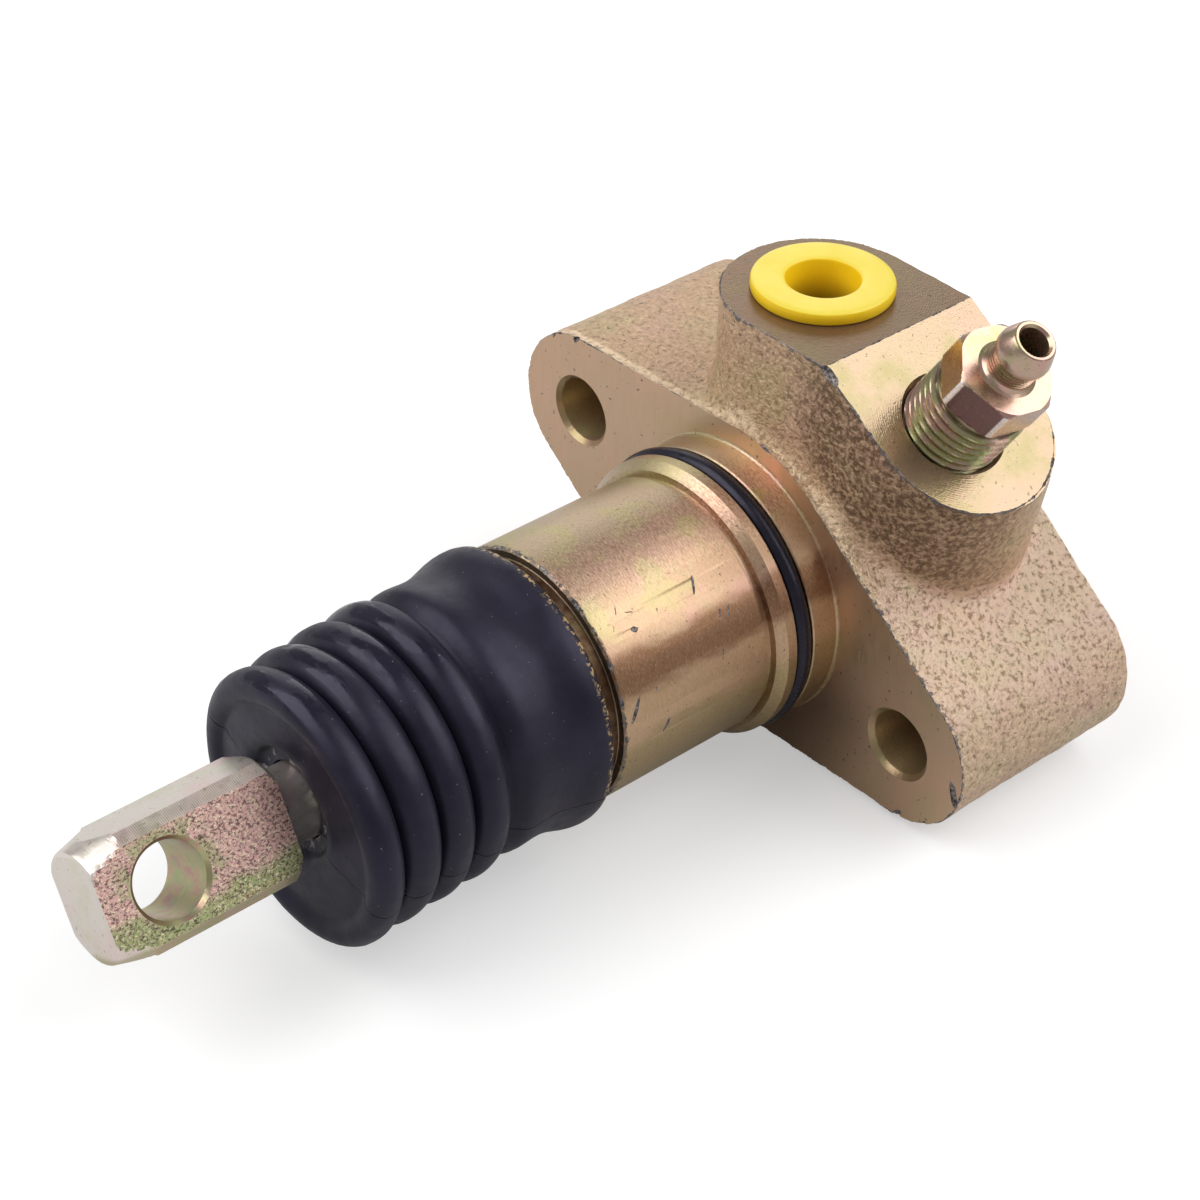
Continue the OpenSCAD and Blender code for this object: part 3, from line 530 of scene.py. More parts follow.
def worn_edge(name, points, out, widest, closed=False):
    """A tube of uneven width along an edge, which cuts a ragged bevel into it."""
    fine = []
    for first, last in zip(points, points[1:]):
        steps = max(1, round((last - first).length / 0.22))
        fine += [first.lerp(last, k / steps) for k in range(steps)]
    if not closed:
        fine.append(points[-1])
    work = bmesh.new()
    rows = []
    for k, point in enumerate(fine):
        if closed:
            step = fine[(k + 1) % len(fine)] - fine[k - 1]
        else:
            step = fine[min(k + 1, len(fine) - 1)] - fine[max(k - 1, 0)]
        along = step.normalized()
        up = out(point)
        up = (up - along * up.dot(along)).normalized()
        across = along.cross(up)
        rough = noise.noise(point * 0.8) + 0.9 * noise.noise(point * 3.4 + Vector((9, 4, 1)))
        size = widest * min(max(0.45 + 0.9 * rough, 0.1), 1.1)
        if name == "worn_rim" and point.z > 9 and abs(point.x) < 17:
            size *= 0.4
        rows.append([work.verts.new(point + up * size * 0.35 + (
            across * math.cos(math.radians(60 * n)) + up * math.sin(math.radians(60 * n))) * size)
            for n in range(6)])
    tool = skinned(work, rows, name, closed, not closed)
    surface_of(tool, BARED)
    return tool


def flat_edge(outline, place, height):
    return [place @ Vector((x, y, height)) for x, y in outline]


rim = [Vector((p[0], 0, p[1])) for p in flange_outline]
corner_x = (bleed_h - port_h * math.cos(bleed_lean)) / math.sin(bleed_lean)
corner = Vector((corner_x, boss_y - boss_r, port_h))
port_edge = arc((port_x, boss_y), boss_r - 0.02, 96, 270, 30) + [(corner_x - 0.3, boss_y - boss_r)]
fold = [Vector((corner_x, boss_y - boss_r + 0.6 + 18.2 * k / 8, port_h)) for k in range(9)]
fold_up = Vector((math.sin(bleed_lean / 2), 0, math.cos(bleed_lean / 2)))
bleed_edge = [((lean.inverted() @ fold[0]).x + 0.5, boss_y - boss_r)] + arc(
    (bleed_x, boss_y), boss_r - 0.02, -90, 76, 30)
bleed_mid = on_bleed @ Vector((0, 0, 0))
mouth = [Vector((13.15 * math.cos(a), -25.9, 13.15 * math.sin(a)))
         for a in [math.radians(3 * k) for k in range(120)]]
machine(casting, [
    worn_edge("worn_rim", rim + rim[:1], lambda p: (
        Vector((p.x, 0, p.z)).normalized() + Vector((0, -1, 0))).normalized(), 0.19, True),
    worn_edge("worn_port", flat_edge(port_edge, Matrix.Translation((0, 0, port_h)), 0), lambda p: (
        (p - Vector((port_x, boss_y, port_h))).normalized() + Vector((0, 0, 1))).normalized(), 0.21),
    worn_edge("worn_bleed", flat_edge(bleed_edge, lean, bleed_h), lambda p: (
        (p - bleed_mid).normalized() + bleed_axis).normalized(), 0.2),
    worn_edge("worn_fold", fold, lambda p: fold_up, 0.15),
    worn_edge("worn_mouth", mouth + mouth[:1], lambda p: (
        Vector((p.x, 0, p.z)).normalized() + Vector((0, -0.8, 0))).normalized(), 0.36, True)])
knocks = bmesh.new()
dent(knocks, corner + Vector((0.75, -0.05, -0.45)), Vector((0.86, 0, -0.5)),
     Vector((0.3, -0.8, 0.5)).normalized(), (1.5, 0.75, 0.5))
dent(knocks, Vector((30.8, 0, -8.9)), Vector((0.3, 0, -0.95)), Vector((0, -1, 0)), (1.5, 0.45, 0.3))
for share, size in ((0.03, 0.45), (0.09, 0.3), (0.47, 0.34), (0.53, 0.42), (0.60, 0.3), (0.72, 0.3)):
    point = rim[round(share * len(rim)) % len(rim)]
    away = Vector((point.x, 0, point.z)).normalized()
    dent(knocks, point + Vector((0, -0.1, 0)), away.cross(Vector((0, 1, 0))),
         (away + Vector((0, -1, 0))).normalized(), (size * 2.2, size, size * 0.8))
for angle, y, size, turn in (
        (49, -14.0, (1.1, 0.17, 0.12), 115), (33, -11.6, (0.7, 0.13, 0.10), 112),
        (34, -12.6, (0.5, 0.12, 0.09), 112), (44, -22.0, (0.42, 0.32, 0.14), 20),
        (19, -13.4, (0.55, 0.10, 0.08), 105), (13, -24.6, (1.6, 0.22, 0.16), 120),
        (-1, -21.0, (0.9, 0.18, 0.12), 120), (18, -21.8, (0.22, 0.10, 0.08), 90),
        (54, -22.8, (0.6, 0.07, 0.07), 118), (51, -21.6, (0.5, 0.07, 0.07), 20)):
    a = math.radians(angle)
    up = Vector((math.cos(a), 0, math.sin(a)))
    round_way = Vector((-math.sin(a), 0, math.cos(a)))
    t = math.radians(turn)
    dent(knocks, up * (barrel_r + 0.02) + Vector((0, y, 0)),
         Vector((0, -1, 0)) * math.cos(t) + round_way * math.sin(t), up, size)
knock_tool = piece_from(knocks, "knocks")
surface_of(knock_tool, BARED)
machine(casting, [knock_tool])


def finished(piece, finishes, body, replaced, angle=32):
    """Brings a piece to metres, gives it its finishes and edges, and lets it ride its body."""
    piece.data.transform(Matrix.Scale(mm, 4))
    kept = [face.material_index for face in piece.data.polygons]
    piece.data.materials.clear()
    for finish in finishes:
        piece.data.materials.append(finish)
    piece.data.polygons.foreach_set("material_index", kept)
    piece.data.shade_smooth()
    piece.data.set_sharp_from_angle(angle=math.radians(angle))
    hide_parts(replaced)
    if body:
        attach(piece, body)


finished(casting, housing_finishes, "casting", "housing")
for face in casting.data.polygons:
    if face.material_index in (FACED, PORT, BLEED):
        face.use_smooth = False

# ---------------------------------------------------------------- flange ring
# A black rubber O-ring sits in the pilot's groove and seals the flange in its bracket.
# It is moulded round and stretched on over the pilot, so only its outer side shows.
ring_r, ring_mid, ring_h = 0.95, 13.85, 4.3
flange_ring = turned("flange_ring_seal", [
    (ring_mid + ring_r * math.cos(a), ring_h + ring_r * math.sin(a))
    for a in [2 * math.pi * k / 40 for k in range(40)]], along_bore, 256, closed=True)


def rubber_finish(name, dark, light, roughness):
    finish, tree, shader = start_finish(name)
    colour = tint(tree, ramp(tree, grain(tree, 2.5, 4, 0.6), 0.35, 0.7), dark, light)
    shader.inputs["Specular IOR Level"].default_value = 0.36
    shader.inputs["Specular Tint"].default_value = (0.84, 0.80, 1.0, 1.0)
    return coated(finish, shader, colour, 0.0,
                  uneven(tree, 1.2, roughness - 0.05, roughness + 0.07),
                  [(grain(tree, 0.5, 3), 0.012)])


ring_rubber = rubber_finish("ring_rubber", (0.007, 0.006, 0.010), (0.012, 0.010, 0.018), 0.3)
finished(flange_ring, [ring_rubber], "casting", "flange_o_ring")

# ---------------------------------------------------------------- port plug
# A yellow polythene plug keeps dirt out of the port until a pipe is fitted. It is moulded
# in one piece, with a flat flange, a hollow stem and a slight polish on its rim.
plug = turned("yellow_port_plug", [
    (0, -7.6), (4.35, -7.6), (4.95, -7.0), (4.95, -0.3), (5.2, 0.0), (6.75, 0.0), (6.92, 0.1),
    (7.0, 0.3), (7.0, 0.95), (6.9, 1.18), (6.7, 1.3), (6.2, 1.32), (4.2, 1.3), (3.9, 1.27),
    (3.7, 1.15), (3.6, 0.9), (3.6, -6.3), (0, -6.3)], on_port, 160)


def plug_finish():
    finish, tree, shader = start_finish("yellow_polythene")
    patch = ramp(tree, grain(tree, 3.5, 3), 0.35, 0.68)
    colour = tint(tree, patch, (0.80, 0.64, 0.07), (0.83, 0.68, 0.10))
    # The rim and the hole look deeper in colour, and painted shade darkens the hole towards its floor
    out = radius_about(tree, (port_x, boss_y, port_h), (0, 0, 1))
    rim = sum_of(tree, "MAXIMUM", ramp(tree, out, 6.8, 6.95), ramp(tree, out, 3.65, 3.85, 1, 0))
    colour = stain(tree, colour, (0.93, 0.62, 0.008), rim)
    colour = stain(tree, colour, (0.16, 0.09, 0.012), ramp(tree, out, 3.65, 3.7, 1, 0),
                   ramp(tree, height_over(tree, (0, 0, 1), port_h), -4.5, 0.2, 1, 0), 0.92)
    shader.inputs["Subsurface Weight"].default_value = 0.3
    shader.inputs["Subsurface Radius"].default_value = (1.0, 0.8, 0.15)
    shader.inputs["Subsurface Scale"].default_value = 0.0012
    return coated(finish, shader, colour, 0.0, uneven(tree, 1.4, 0.3, 0.42),
                  [(grain(tree, 0.6, 3), 0.012), (grain(tree, 3, 2), 0.05)])


finished(plug, [plug_finish()], "plug", "port_plug")

# ---------------------------------------------------------------- bleed screw
# The bleed screw is turned from hexagon steel, threaded, drilled and zinc plated. Its cone
# seals the fluid way, and its barbed nipple takes the bleeding hose.
hex_high, hex_turn, hex_flat, screw_tip, thread_pitch = 10.0, 21, 4.5, 15.2, 1.0


def hexagon(angle):
    """Distance from the axis to the hexagon's side, its corners slightly worn."""
    turn = (math.degrees(angle) - hex_turn) % 60 - 30
    return min(hex_flat / math.cos(math.radians(turn)), 5.1)


def thread(angle, height):
    """Radius of the screw thread, with flat crests and roots."""
    phase = (height / thread_pitch - angle / (2 * math.pi)) % 1
    share = min(max((abs(phase - 0.5) - 0.09) / 0.3, 0), 1)
    run_out = min(max((height + 7.0) / 0.6, 0), 1) * min(max((5.6 - height) / 0.35, 0), 1)
    return 4.42 + 0.56 * share * run_out


screw_rows = [(0.0, -11.9), (1.6, -11.9), (3.4, -11.0), (3.4, -7.6), (4.42, -7.4)]
screw_rows += [("thread", -7.2 + 0.1 * k) for k in range(130)]
screw_rows += [(4.4, 5.85), ("hex", 5.9), ("hex", 6.05), ("hex", 6.3)]
screw_rows += [("hex", hex_high - 1.0 + 0.1 * k) for k in range(11)]
screw_rows += [(3.35, 10.02), (2.95, 10.05), (2.66, 10.2), (2.5, 10.42), (2.42, 10.62)]
for k in range(4):
    screw_rows += [(2.42, 10.74 + 0.36 * k), (2.42, 10.9 + 0.36 * k), (2.26, 10.96 + 0.36 * k),
                   (2.26, 11.02 + 0.36 * k)]
screw_rows += [(2.34, 12.3), (2.58, 12.5), (2.68, 12.7), (2.7, 13.0), (2.7, 13.3),
               (2.64, 13.6), (2.2, 14.9), (2.08, 15.12), (1.95, screw_tip), (1.72, screw_tip - 0.02),
               (1.5, screw_tip - 0.3), (1.45, screw_tip - 0.6), (1.45, -8.9), (0.0, -9.4)]


def screw_radius(kind, angle, height):
    if kind == "thread":
        return thread(angle, height)
    if kind == "hex":
        top = 5.3 - max(0, height - (hex_high - 0.5)) * 1.3
        foot = hex_flat + (height - 5.9) * 2.6
        return min(hexagon(angle), top, foot)
    return kind


screw_angles = [math.radians(hex_turn) + 2 * math.pi * k / 144 for k in range(144)]
bleed_screw = shaped("bleed_screw_and_nipple", screw_rows, screw_radius, screw_angles, on_bleed)


def screw_finish():
    finish, tree, shader = start_finish("screw_zinc")
    colour = passivated(tree, (0.56, 0.40, 0.30), (0.60, 0.36, 0.31), (0.44, 0.40, 0.22), 3)
    # Each side of the hexagon takes a colour of its own: the passivation's tone with painted
    # reflections and painted shade
    above = height_over(tree, tuple(bleed_axis), bleed_h)
    on_hex = product(tree, ramp(tree, above, 5.9, 6.0),
                     ramp(tree, above, hex_high - 0.1, hex_high - 0.04, 1, 0))
    hues = ((0.62, 0.38, 0.30), (0.66, 0.46, 0.36), (0.60, 0.44, 0.36),
            (0.72, 0.44, 0.23), (0.20, 0.095, 0.095), (0.60, 0.44, 0.36))
    for k, hue in enumerate(hues):
        way = math.radians(hex_turn + 30 + 60 * k)
        out = on_bleed.to_3x3() @ Vector((math.cos(way), math.sin(way), 0))
        beyond = height_over(tree, tuple(out), bleed_mid.dot(out) + hex_flat)
        colour = stain(tree, colour, hue, ramp(tree, beyond, -0.07, -0.02), on_hex, 0.85)
    # The hexagon's corners are painted pale: a painted highlight along the edges, where the plating
    # is also worn
    far = radius_about(tree, tuple(bleed_mid), tuple(bleed_axis))
    colour = stain(tree, colour, (0.86, 0.80, 0.78), ramp(tree, far, 5.0, 5.07), on_hex)
    # The thread's flanks turned green and gold, and its roots are painted dark as shade
    on_thread = ramp(tree, above, 5.6, 5.8, 1, 0)
    colour = stain(tree, colour, (0.42, 0.46, 0.20), on_thread,
                   ramp(tree, grain(tree, 2.6, 2), 0.42, 0.58, 0, 0.7))
    colour = stain(tree, colour, (0.12, 0.08, 0.05), on_thread, ramp(tree, far, 4.5, 4.72, 0.8, 0))
    colour = specked(tree, colour, (0.14, 0.09, 0.08), 0.6, 0.35, (0, 0, 0), 0.27, 0.31)
    return coated(finish, shader, colour, 0.92, uneven(tree, 0.8, 0.22, 0.30),
                  [(grain(tree, 0.4, 3), 0.006)])


finished(bleed_screw, [screw_finish()], "bleeder", "bleed_screw", 17)

# ---------------------------------------------------------------- push rod
# The push rod is a steel bar with a ball at its inner end and a flat, cross-drilled eye at
# the other. The eye's long edges are milled off at 45 degrees and its ends are turned.
eye_low, rod_end, eye_half_t, eye_half_w, eye_bevel = 56.6, 75.6, 4.0, 5.7, 1.0
hole_to_end, below_eye = 6.7, (0.4756, 0, -0.8796)
ball_h, ball_r, shank_r = 25.05, 4.5, 3.7
eye_corner = math.hypot(eye_half_t, eye_half_w)
eye_sides = [(0, eye_half_w), (90, eye_half_t), (180, eye_half_w), (270, eye_half_t)]
eye_sides += [(a, (eye_half_w + eye_half_t - eye_bevel) / math.sqrt(2)) for a in (45, 135, 225, 315)]


def eye_radius(kind, angle, height):
    """Radius of the eye's bar, or of the turned end that trims it."""
    if kind != "bar":
        return kind
    flat = min(d / math.cos(angle - math.radians(a)) for a, d in eye_sides
               if math.cos(angle - math.radians(a)) > 0.05)
    to_end = rod_end - height
    turned_end = 5.3 + to_end * 0.27 if to_end < 3.4 else 5.3 + 0.918 + (to_end - 3.4) * 1.4
    shoulder = eye_corner - 1.5 + (height - eye_low) * 1.25
    return min(flat, turned_end, shoulder, 4.95 + (rod_end - height) * 2.2)


rod_rows = [(0.0, ball_h - ball_r)]
for k in range(1, 19):
    a = math.radians(-90 + 8 * k)
    rod_rows.append((ball_r * math.cos(a), ball_h + ball_r * math.sin(a)))
rod_rows += [(3.2, ball_h + 3.2), (3.2, 32), (3.6, 33), (shank_r, 33.2), (shank_r, 50.2), (3.9, 50.5),
             (4.3, 51.0), (4.3, 51.8), (shank_r, 51.85), (shank_r, 56.3), (3.8, eye_low - 0.02)]
rod_rows += [("bar", eye_low + 0.1 * k) for k in range(14)] + [("bar", eye_low + 1.4 + 0.85 * k)
                                                               for k in range(15)]
rod_rows += [("bar", rod_end - 4.6 + 0.15 * k) for k in range(28)]
rod_rows += [("bar", rod_end - 0.3), ("bar", rod_end - 0.15), ("bar", rod_end), (3.0, rod_end),
             (0.0, rod_end)]
corners = []
for x, y in ((eye_half_w, eye_half_t - eye_bevel), (eye_half_w - eye_bevel, eye_half_t)):
    for sx, sy in ((1, 1), (-1, 1), (1, -1), (-1, -1)):
        corners.append(math.atan2(sy * y, sx * x) % (2 * math.pi))
rod_angles = sorted(corners + [2 * math.pi * (k + 0.5) / 120 for k in range(120)])
eye_turn = Matrix.Rotation(math.radians(-61.6), 4, "Z")
rod_place = along_bore @ eye_turn
push_rod = shaped("push_rod_and_eye", rod_rows, eye_radius, rod_angles, rod_place)
eye_hole = turned("eye_hole", [
    (0, -6), (4.1, -6), (4.1, -4.2), (3.86, -3.98), (3.5, -3.6), (3.5, 3.6), (3.86, 3.98),
    (4.1, 4.2), (4.1, 6), (0, 6)],
    rod_place @ Matrix.Translation((0, 0, rod_end - hole_to_end)) @ along_bore, 128)
surface_of(push_rod, 0)
surface_of(eye_hole, 1)
machine(push_rod, [eye_hole])
hole_way = rod_place.to_3x3() @ Vector((0, 1, 0))
for face in push_rod.data.polygons:
    on_flat = abs(face.normal.dot(hole_way)) > 0.98 and face.center.y < -eye_low
    if face.material_index == 0 and on_flat:
        face.material_index = 2


def rod_finish():
    finish, tree, shader = start_finish("rod_zinc")
    colour = passivated(tree, (0.84, 0.77, 0.70), (0.86, 0.69, 0.64), (0.76, 0.72, 0.56), 6)
    marks = ramp(tree, grain(tree, 0.5, 3, 0.6, shift=(8, 3, 5)), 0.31, 0.36, 1, 0)
    colour = stain(tree, colour, (0.20, 0.13, 0.09), marks, 0.5)
    # Below the flat the passivation ran thick and olive, and the milled bevel above is hatched
    below = height_over(tree, below_eye)
    past = ramp(tree, height_over(tree, (0, -1, 0), eye_low), 0, 1)
    thick = passivated(tree, (0.50, 0.40, 0.20), (0.56, 0.38, 0.28), (0.40, 0.42, 0.18), 2)
    colour = stain(tree, colour, thick, ramp(tree, below, 4.2, 5.0), past, 0.85)
    hatch = sum_of(tree, "SINE", product(tree, height_over(tree, (0, -1, 0)), 31))
    colour = stain(tree, colour, (0.26, 0.17, 0.12), ramp(tree, below, -4.6, -4.8),
                   ramp(tree, height_over(tree, tuple(hole_way)), 2.8, 3.05), past,
                   ramp(tree, hatch, -0.6, 0.8, 0.42, 0.05))
    lines = grain(tree, 0.22, 1, 0.5, stretch=(0.3, 2.5, 0.3))
    return coated(finish, shader, colour, 0.85, uneven(tree, 0.9, 0.27, 0.38),
                  [(lines, 0.015), (grain(tree, 2.5, 2), 0.03)])


def speckled_finish():
    finish, tree, shader = start_finish("speckled_rod_zinc")
    # The passivation runs from pink over cream to green towards the lower edge of the flat
    drift = sum_of(tree, "MULTIPLY_ADD", grain(tree, 5.5, 3, 0.55, shift=(2.2, 1.0, 7.0)), 6, -3)
    across = sum_of(tree, "ADD", height_over(tree, below_eye), drift)
    colour = tint(tree, ramp(tree, across, 1.6, 3.2), (0.76, 0.46, 0.42), (0.40, 0.44, 0.20))
    colour = stain(tree, colour, (0.42, 0.34, 0.17), ramp(tree, across, 4.2, 5.2))
    fine = (tree, 0.24, 4, 0.75, (1, 0.7, 1))
    streaks = grain(*fine)
    dark = ramp(tree, grain(*fine, shift=(8, 3, 5)), 0.40, 0.52, 1, 0)
    colour = stain(tree, colour, (1.0, 0.86, 0.62), ramp(tree, streaks, 0.50, 0.60), 0.8)
    colour = stain(tree, colour, (0.12, 0.065, 0.06), dark, 0.9)
    # The passivation is darker and greener around the drilled hole
    out = radius_about(tree, (0, hole_to_end - rod_end, 0), tuple(hole_way))
    colour = stain(tree, colour, tint(tree, dark, (0.42, 0.46, 0.22), (0.10, 0.08, 0.05)),
                   ramp(tree, out, 4.0, 6.4, 0.75, 0),
                   ramp(tree, grain(tree, 1.6, 3, 0.6, shift=(1, 3, 9)), 0.4, 0.55))
    return coated(finish, shader, colour, 0.7, 0.36, [(streaks, 0.05)])


eye_bore_finish = drilled_finish("eye_bore_zinc", (0.55, 0.48, 0.26), (0.55, 0.30, 0.28),
                                 (0.42, 0.46, 0.24), 2.2, 0.9, 0.28, (0.3, 2), 0.02)
finished(push_rod, [rod_finish(), eye_bore_finish, speckled_finish()], "rod", "push_rod", 24)

# ---------------------------------------------------------------- dust boot
# A black rubber bellows keeps dirt off the rod. Its long sleeve grips the cylinder's nose,
# four rolls take up the stroke, and the lip in its dished front holds the rod's neck.
crests = [(41.0, 13.7), (45.1, 13.65), (49.15, 13.6), (53.2, 13.5)]
valley_r, roll_half, boot_wall = 11.7, 2.05, 0.9


def roll(centre, crest, thin, low=-1.0, high=1.0, steps=14):
    """Points over one roll of the bellows, from the valley behind it to the one in front."""
    points = []
    for k in range(steps + 1):
        t = low + (high - low) * k / steps
        height = max(0.0, 1 - abs(t) ** 2.3) ** 0.55
        points.append((valley_r - thin + (crest - valley_r) * height, centre + roll_half * t))
    return points


boot_outline = [
    (12.6, 28.15), (13.6, 28.08), (13.92, 28.12), (14.1, 28.28), (14.18, 28.6), (14.2, 29.1),
    (14.14, 29.7), (14.0, 30.3), (13.8, 30.9), (13.6, 31.5), (13.42, 32.1), (13.3, 32.7),
    (13.22, 33.3), (13.2, 34.0), (13.23, 34.8), (13.3, 35.6), (13.33, 36.3), (13.27, 36.9),
    (13.1, 37.4), (12.75, 37.9), (12.3, 38.4), (11.95, 38.8)]
for centre, crest in crests:
    boot_outline += roll(centre, crest, 0, -0.99, 0.97 if centre < 53 else 0.0, 18)
boot_outline += [(13.45, 53.6), (13.29, 54.0), (13.03, 54.33), (12.7, 54.59), (12.3, 54.75),
                 (11.85, 54.8), (11.4, 54.72), (11.0, 54.5), (10.72, 54.25), (10.5, 54.2),
                 (10.2, 54.24), (9.0, 54.36), (7.6, 54.5), (6.7, 54.56), (6.1, 54.5),
                 (5.65, 54.28), (5.38, 53.95), (5.2, 53.6), (4.9, 53.42), (3.88, 53.4),
                 (3.86, 52.1), (5.5, 52.1), (6.3, 53.3), (10.5, 53.2), (11.3, 53.4), (12.2, 53.2)]
inner = []
for centre, crest in crests:
    inner += roll(centre, crest, boot_wall, -0.93, 0.9 if centre < 53 else -0.05, 8)
boot_outline += list(reversed(inner))
boot_outline += [(11.3, 38.3), (11.3, 36.8), (12.5, 36.8), (12.5, 32.1), (11.5, 32.1),
                 (11.5, 29.5), (12.5, 29.5)]
boot_around = 256
boot = turned("bellows_dust_boot", boot_outline, along_bore, boot_around, closed=True)
crest_share = boot.data.attributes.new("crest", "FLOAT", "POINT")
for k, vertex in enumerate(boot.data.vertices):
    place = vertex.co.copy()
    radius = math.hypot(place.x, place.z)
    height = -place.y
    outward = Vector((place.x, 0, place.z)) / radius
    angle = math.atan2(place.z, place.x)
    free = min(max((height - 36.5) / 4, 0), 1) * min(max((radius - 5.5) / 4, 0), 1)
    swell = 0.10 * noise.noise(Vector((math.cos(angle) * 1.3, math.sin(angle) * 1.3, height * 0.22)))
    dent_in = 0.04 * noise.noise(place * 0.5)
    lean_of_roll = 0.22 * math.sin(angle + height * 0.35) + 0.08 * math.sin(2 * angle + height)
    grip = min(max((radius - 12.55) / 0.6, 0), 1)
    sag = 0.07 * max(height - 40, 0)
    vertex.co = place + outward * (swell * grip + dent_in * free) + Vector((0, -1, 0)) * (
        lean_of_roll * free * 0.6) + Vector((0.4, 0, -0.92)) * sag * free
    shape = max((valley_r + (crest - valley_r) * math.sqrt(1 - ((height - c) / roll_half) ** 2)
                 for c, crest in crests if abs(height - c) < roll_half), default=0)
    crest_share.data[k].value = min(max((shape - 12.9) / 0.5, 0), 1) if radius > 12.6 else 0


def boot_finish():
    finish, tree, shader = start_finish("boot_rubber")
    colour = tint(tree, ramp(tree, grain(tree, 5, 4, 0.6), 0.35, 0.7),
                  (0.010, 0.009, 0.017), (0.017, 0.015, 0.027))
    dust = ramp(tree, grain(tree, 0.32, 1, 0.5, shift=(6, 6, 6)), 0.775, 0.79)
    colour = stain(tree, colour, (0.3, 0.29, 0.3), dust, 0.4)
    # Flakes of the cylinder's plating cling to the sleeve's mouth
    colour = stain(tree, colour, (0.42, 0.29, 0.13),
                   ramp(tree, grain(tree, 0.55, 4, 0.7, shift=(2, 5, 1)), 0.52, 0.56),
                   ramp(tree, height_over(tree, (0, -1, 0), 28.2), 0.35, 0.75, 1, 0))
    # The mould's parting line runs along both sides of the boot, level with the two ears
    parting = sum_of(tree, "ABSOLUTE", sum_of(
        tree, "ADD", height_over(tree, (0.305, 0, 0.952), -0.25),
        ramp(tree, grain(tree, 2.5, 2), 0.2, 0.8, -0.2, 0.2)))
    groove = ramp(tree, parting, 0.05, 0.2, 1, 0)
    colour = stain(tree, colour, (0.002, 0.002, 0.003), groove, 0.8)
    neck = radius_about(tree, (0, 0, 0), (0, 1, 0))
    colour = stain(tree, colour, (0.36, 0.34, 0.36), ramp(tree, neck, 4.4, 5.4, 1, 0),
                   ramp(tree, grain(tree, 1.3, 4, 0.7, shift=(1, 5, 9)), 0.53, 0.58), 0.8)
    # Mould grease leaves the rolls glossy on the side that lay uppermost
    crest = tree.nodes.new("ShaderNodeAttribute")
    crest.attribute_name = "crest"
    glossy = product(tree, ramp(tree, height_over(tree, (-0.5, 0, 1)), 8.5, 11.5),
                     ramp(tree, crest.outputs["Fac"], 0.1, 0.5),
                     ramp(tree, grain(tree, 3.2, 3, 0.6, stretch=(0.5, 1.4, 0.5)), 0.44, 0.5))
    dull = ramp(tree, grain(tree, 2.2, 4, 0.6), 0.3, 0.7, 0.36, 0.46)
    shader.inputs["Specular IOR Level"].default_value = 0.31
    shader.inputs["Specular Tint"].default_value = (0.80, 0.76, 1.0, 1.0)
    return coated(finish, shader, colour, 0.0, sum_of(tree, "MULTIPLY_ADD", glossy, -0.26, dull),
                  [(grain(tree, 0.7, 4, 0.6), 0.02), (sum_of(tree, "SUBTRACT", 1, groove), 0.12)])


finished(boot, [boot_finish()], None, "dust_boot", 60)
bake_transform(boot)

# ---------------------------------------------------------------- inner pieces
# Inside the bore lie the piston with its plastic guide band and lip seal, the pressure cup
# with its spreader, and the clip that keeps the rod's ball. A washer and a snap ring at the
# mouth stop them. They keep their turned and moulded shapes, with a finish of their own.


def bright_finish(name, dark, light, metallic, roughness, stretch, depth):
    finish, tree, shader = start_finish(name)
    lines = grain(tree, 0.6, 3, 0.6, stretch=stretch)
    return coated(finish, shader, tint(tree, ramp(tree, lines, 0.3, 0.7), dark, light), metallic,
                  uneven(tree, 1.5, roughness - 0.05, roughness + 0.08),
                  [(lines, depth)])


round_lines, even = (0.4, 2.5, 0.4), (1, 1, 1)
seal_rubber = rubber_finish("seal_rubber", (0.010, 0.010, 0.012), (0.020, 0.020, 0.024), 0.34)
inner_finishes = {"piston_seal": seal_rubber, "pressure_cup": seal_rubber}
for name, *look in (
        ("piston", "piston_alloy", (0.56, 0.57, 0.59), (0.72, 0.73, 0.75),
         1.0, 0.3, round_lines, 0.02),
        ("guide_ring", "guide_plastic", (0.72, 0.69, 0.60), (0.80, 0.77, 0.69),
         0.0, 0.45, even, 0.01),
        ("cup_spreader", "spreader_plastic", (0.55, 0.44, 0.18), (0.63, 0.52, 0.25),
         0.0, 0.42, even, 0.01),
        ("rod_retainer", "clip_steel", (0.22, 0.23, 0.25), (0.34, 0.35, 0.37),
         1.0, 0.36, round_lines, 0.01),
        ("stop_washer", "washer_zinc", (0.50, 0.44, 0.27), (0.60, 0.50, 0.37),
         0.9, 0.36, round_lines, 0.01),
        ("snap_ring", "ring_steel", (0.14, 0.14, 0.15), (0.24, 0.24, 0.26), 1.0, 0.4, even, 0.01)):
    inner_finishes[name] = bright_finish(*look)
for name, finish in inner_finishes.items():
    nodes[name].data.materials.clear()
    nodes[name].data.materials.append(finish)

# ---------------------------------------------------------------- return spring
# A coil spring of drawn steel wire pushes the cup and piston out against the rod. Its end
# turns lie closed. It shortens with the piston's travel in the real cylinder, but here it is wound
# once at a fixed length.
spring_steel = bright_finish("spring_steel", (0.30, 0.31, 0.33), (0.45, 0.46, 0.48),
                             1.0, 0.3, even, 0.01)


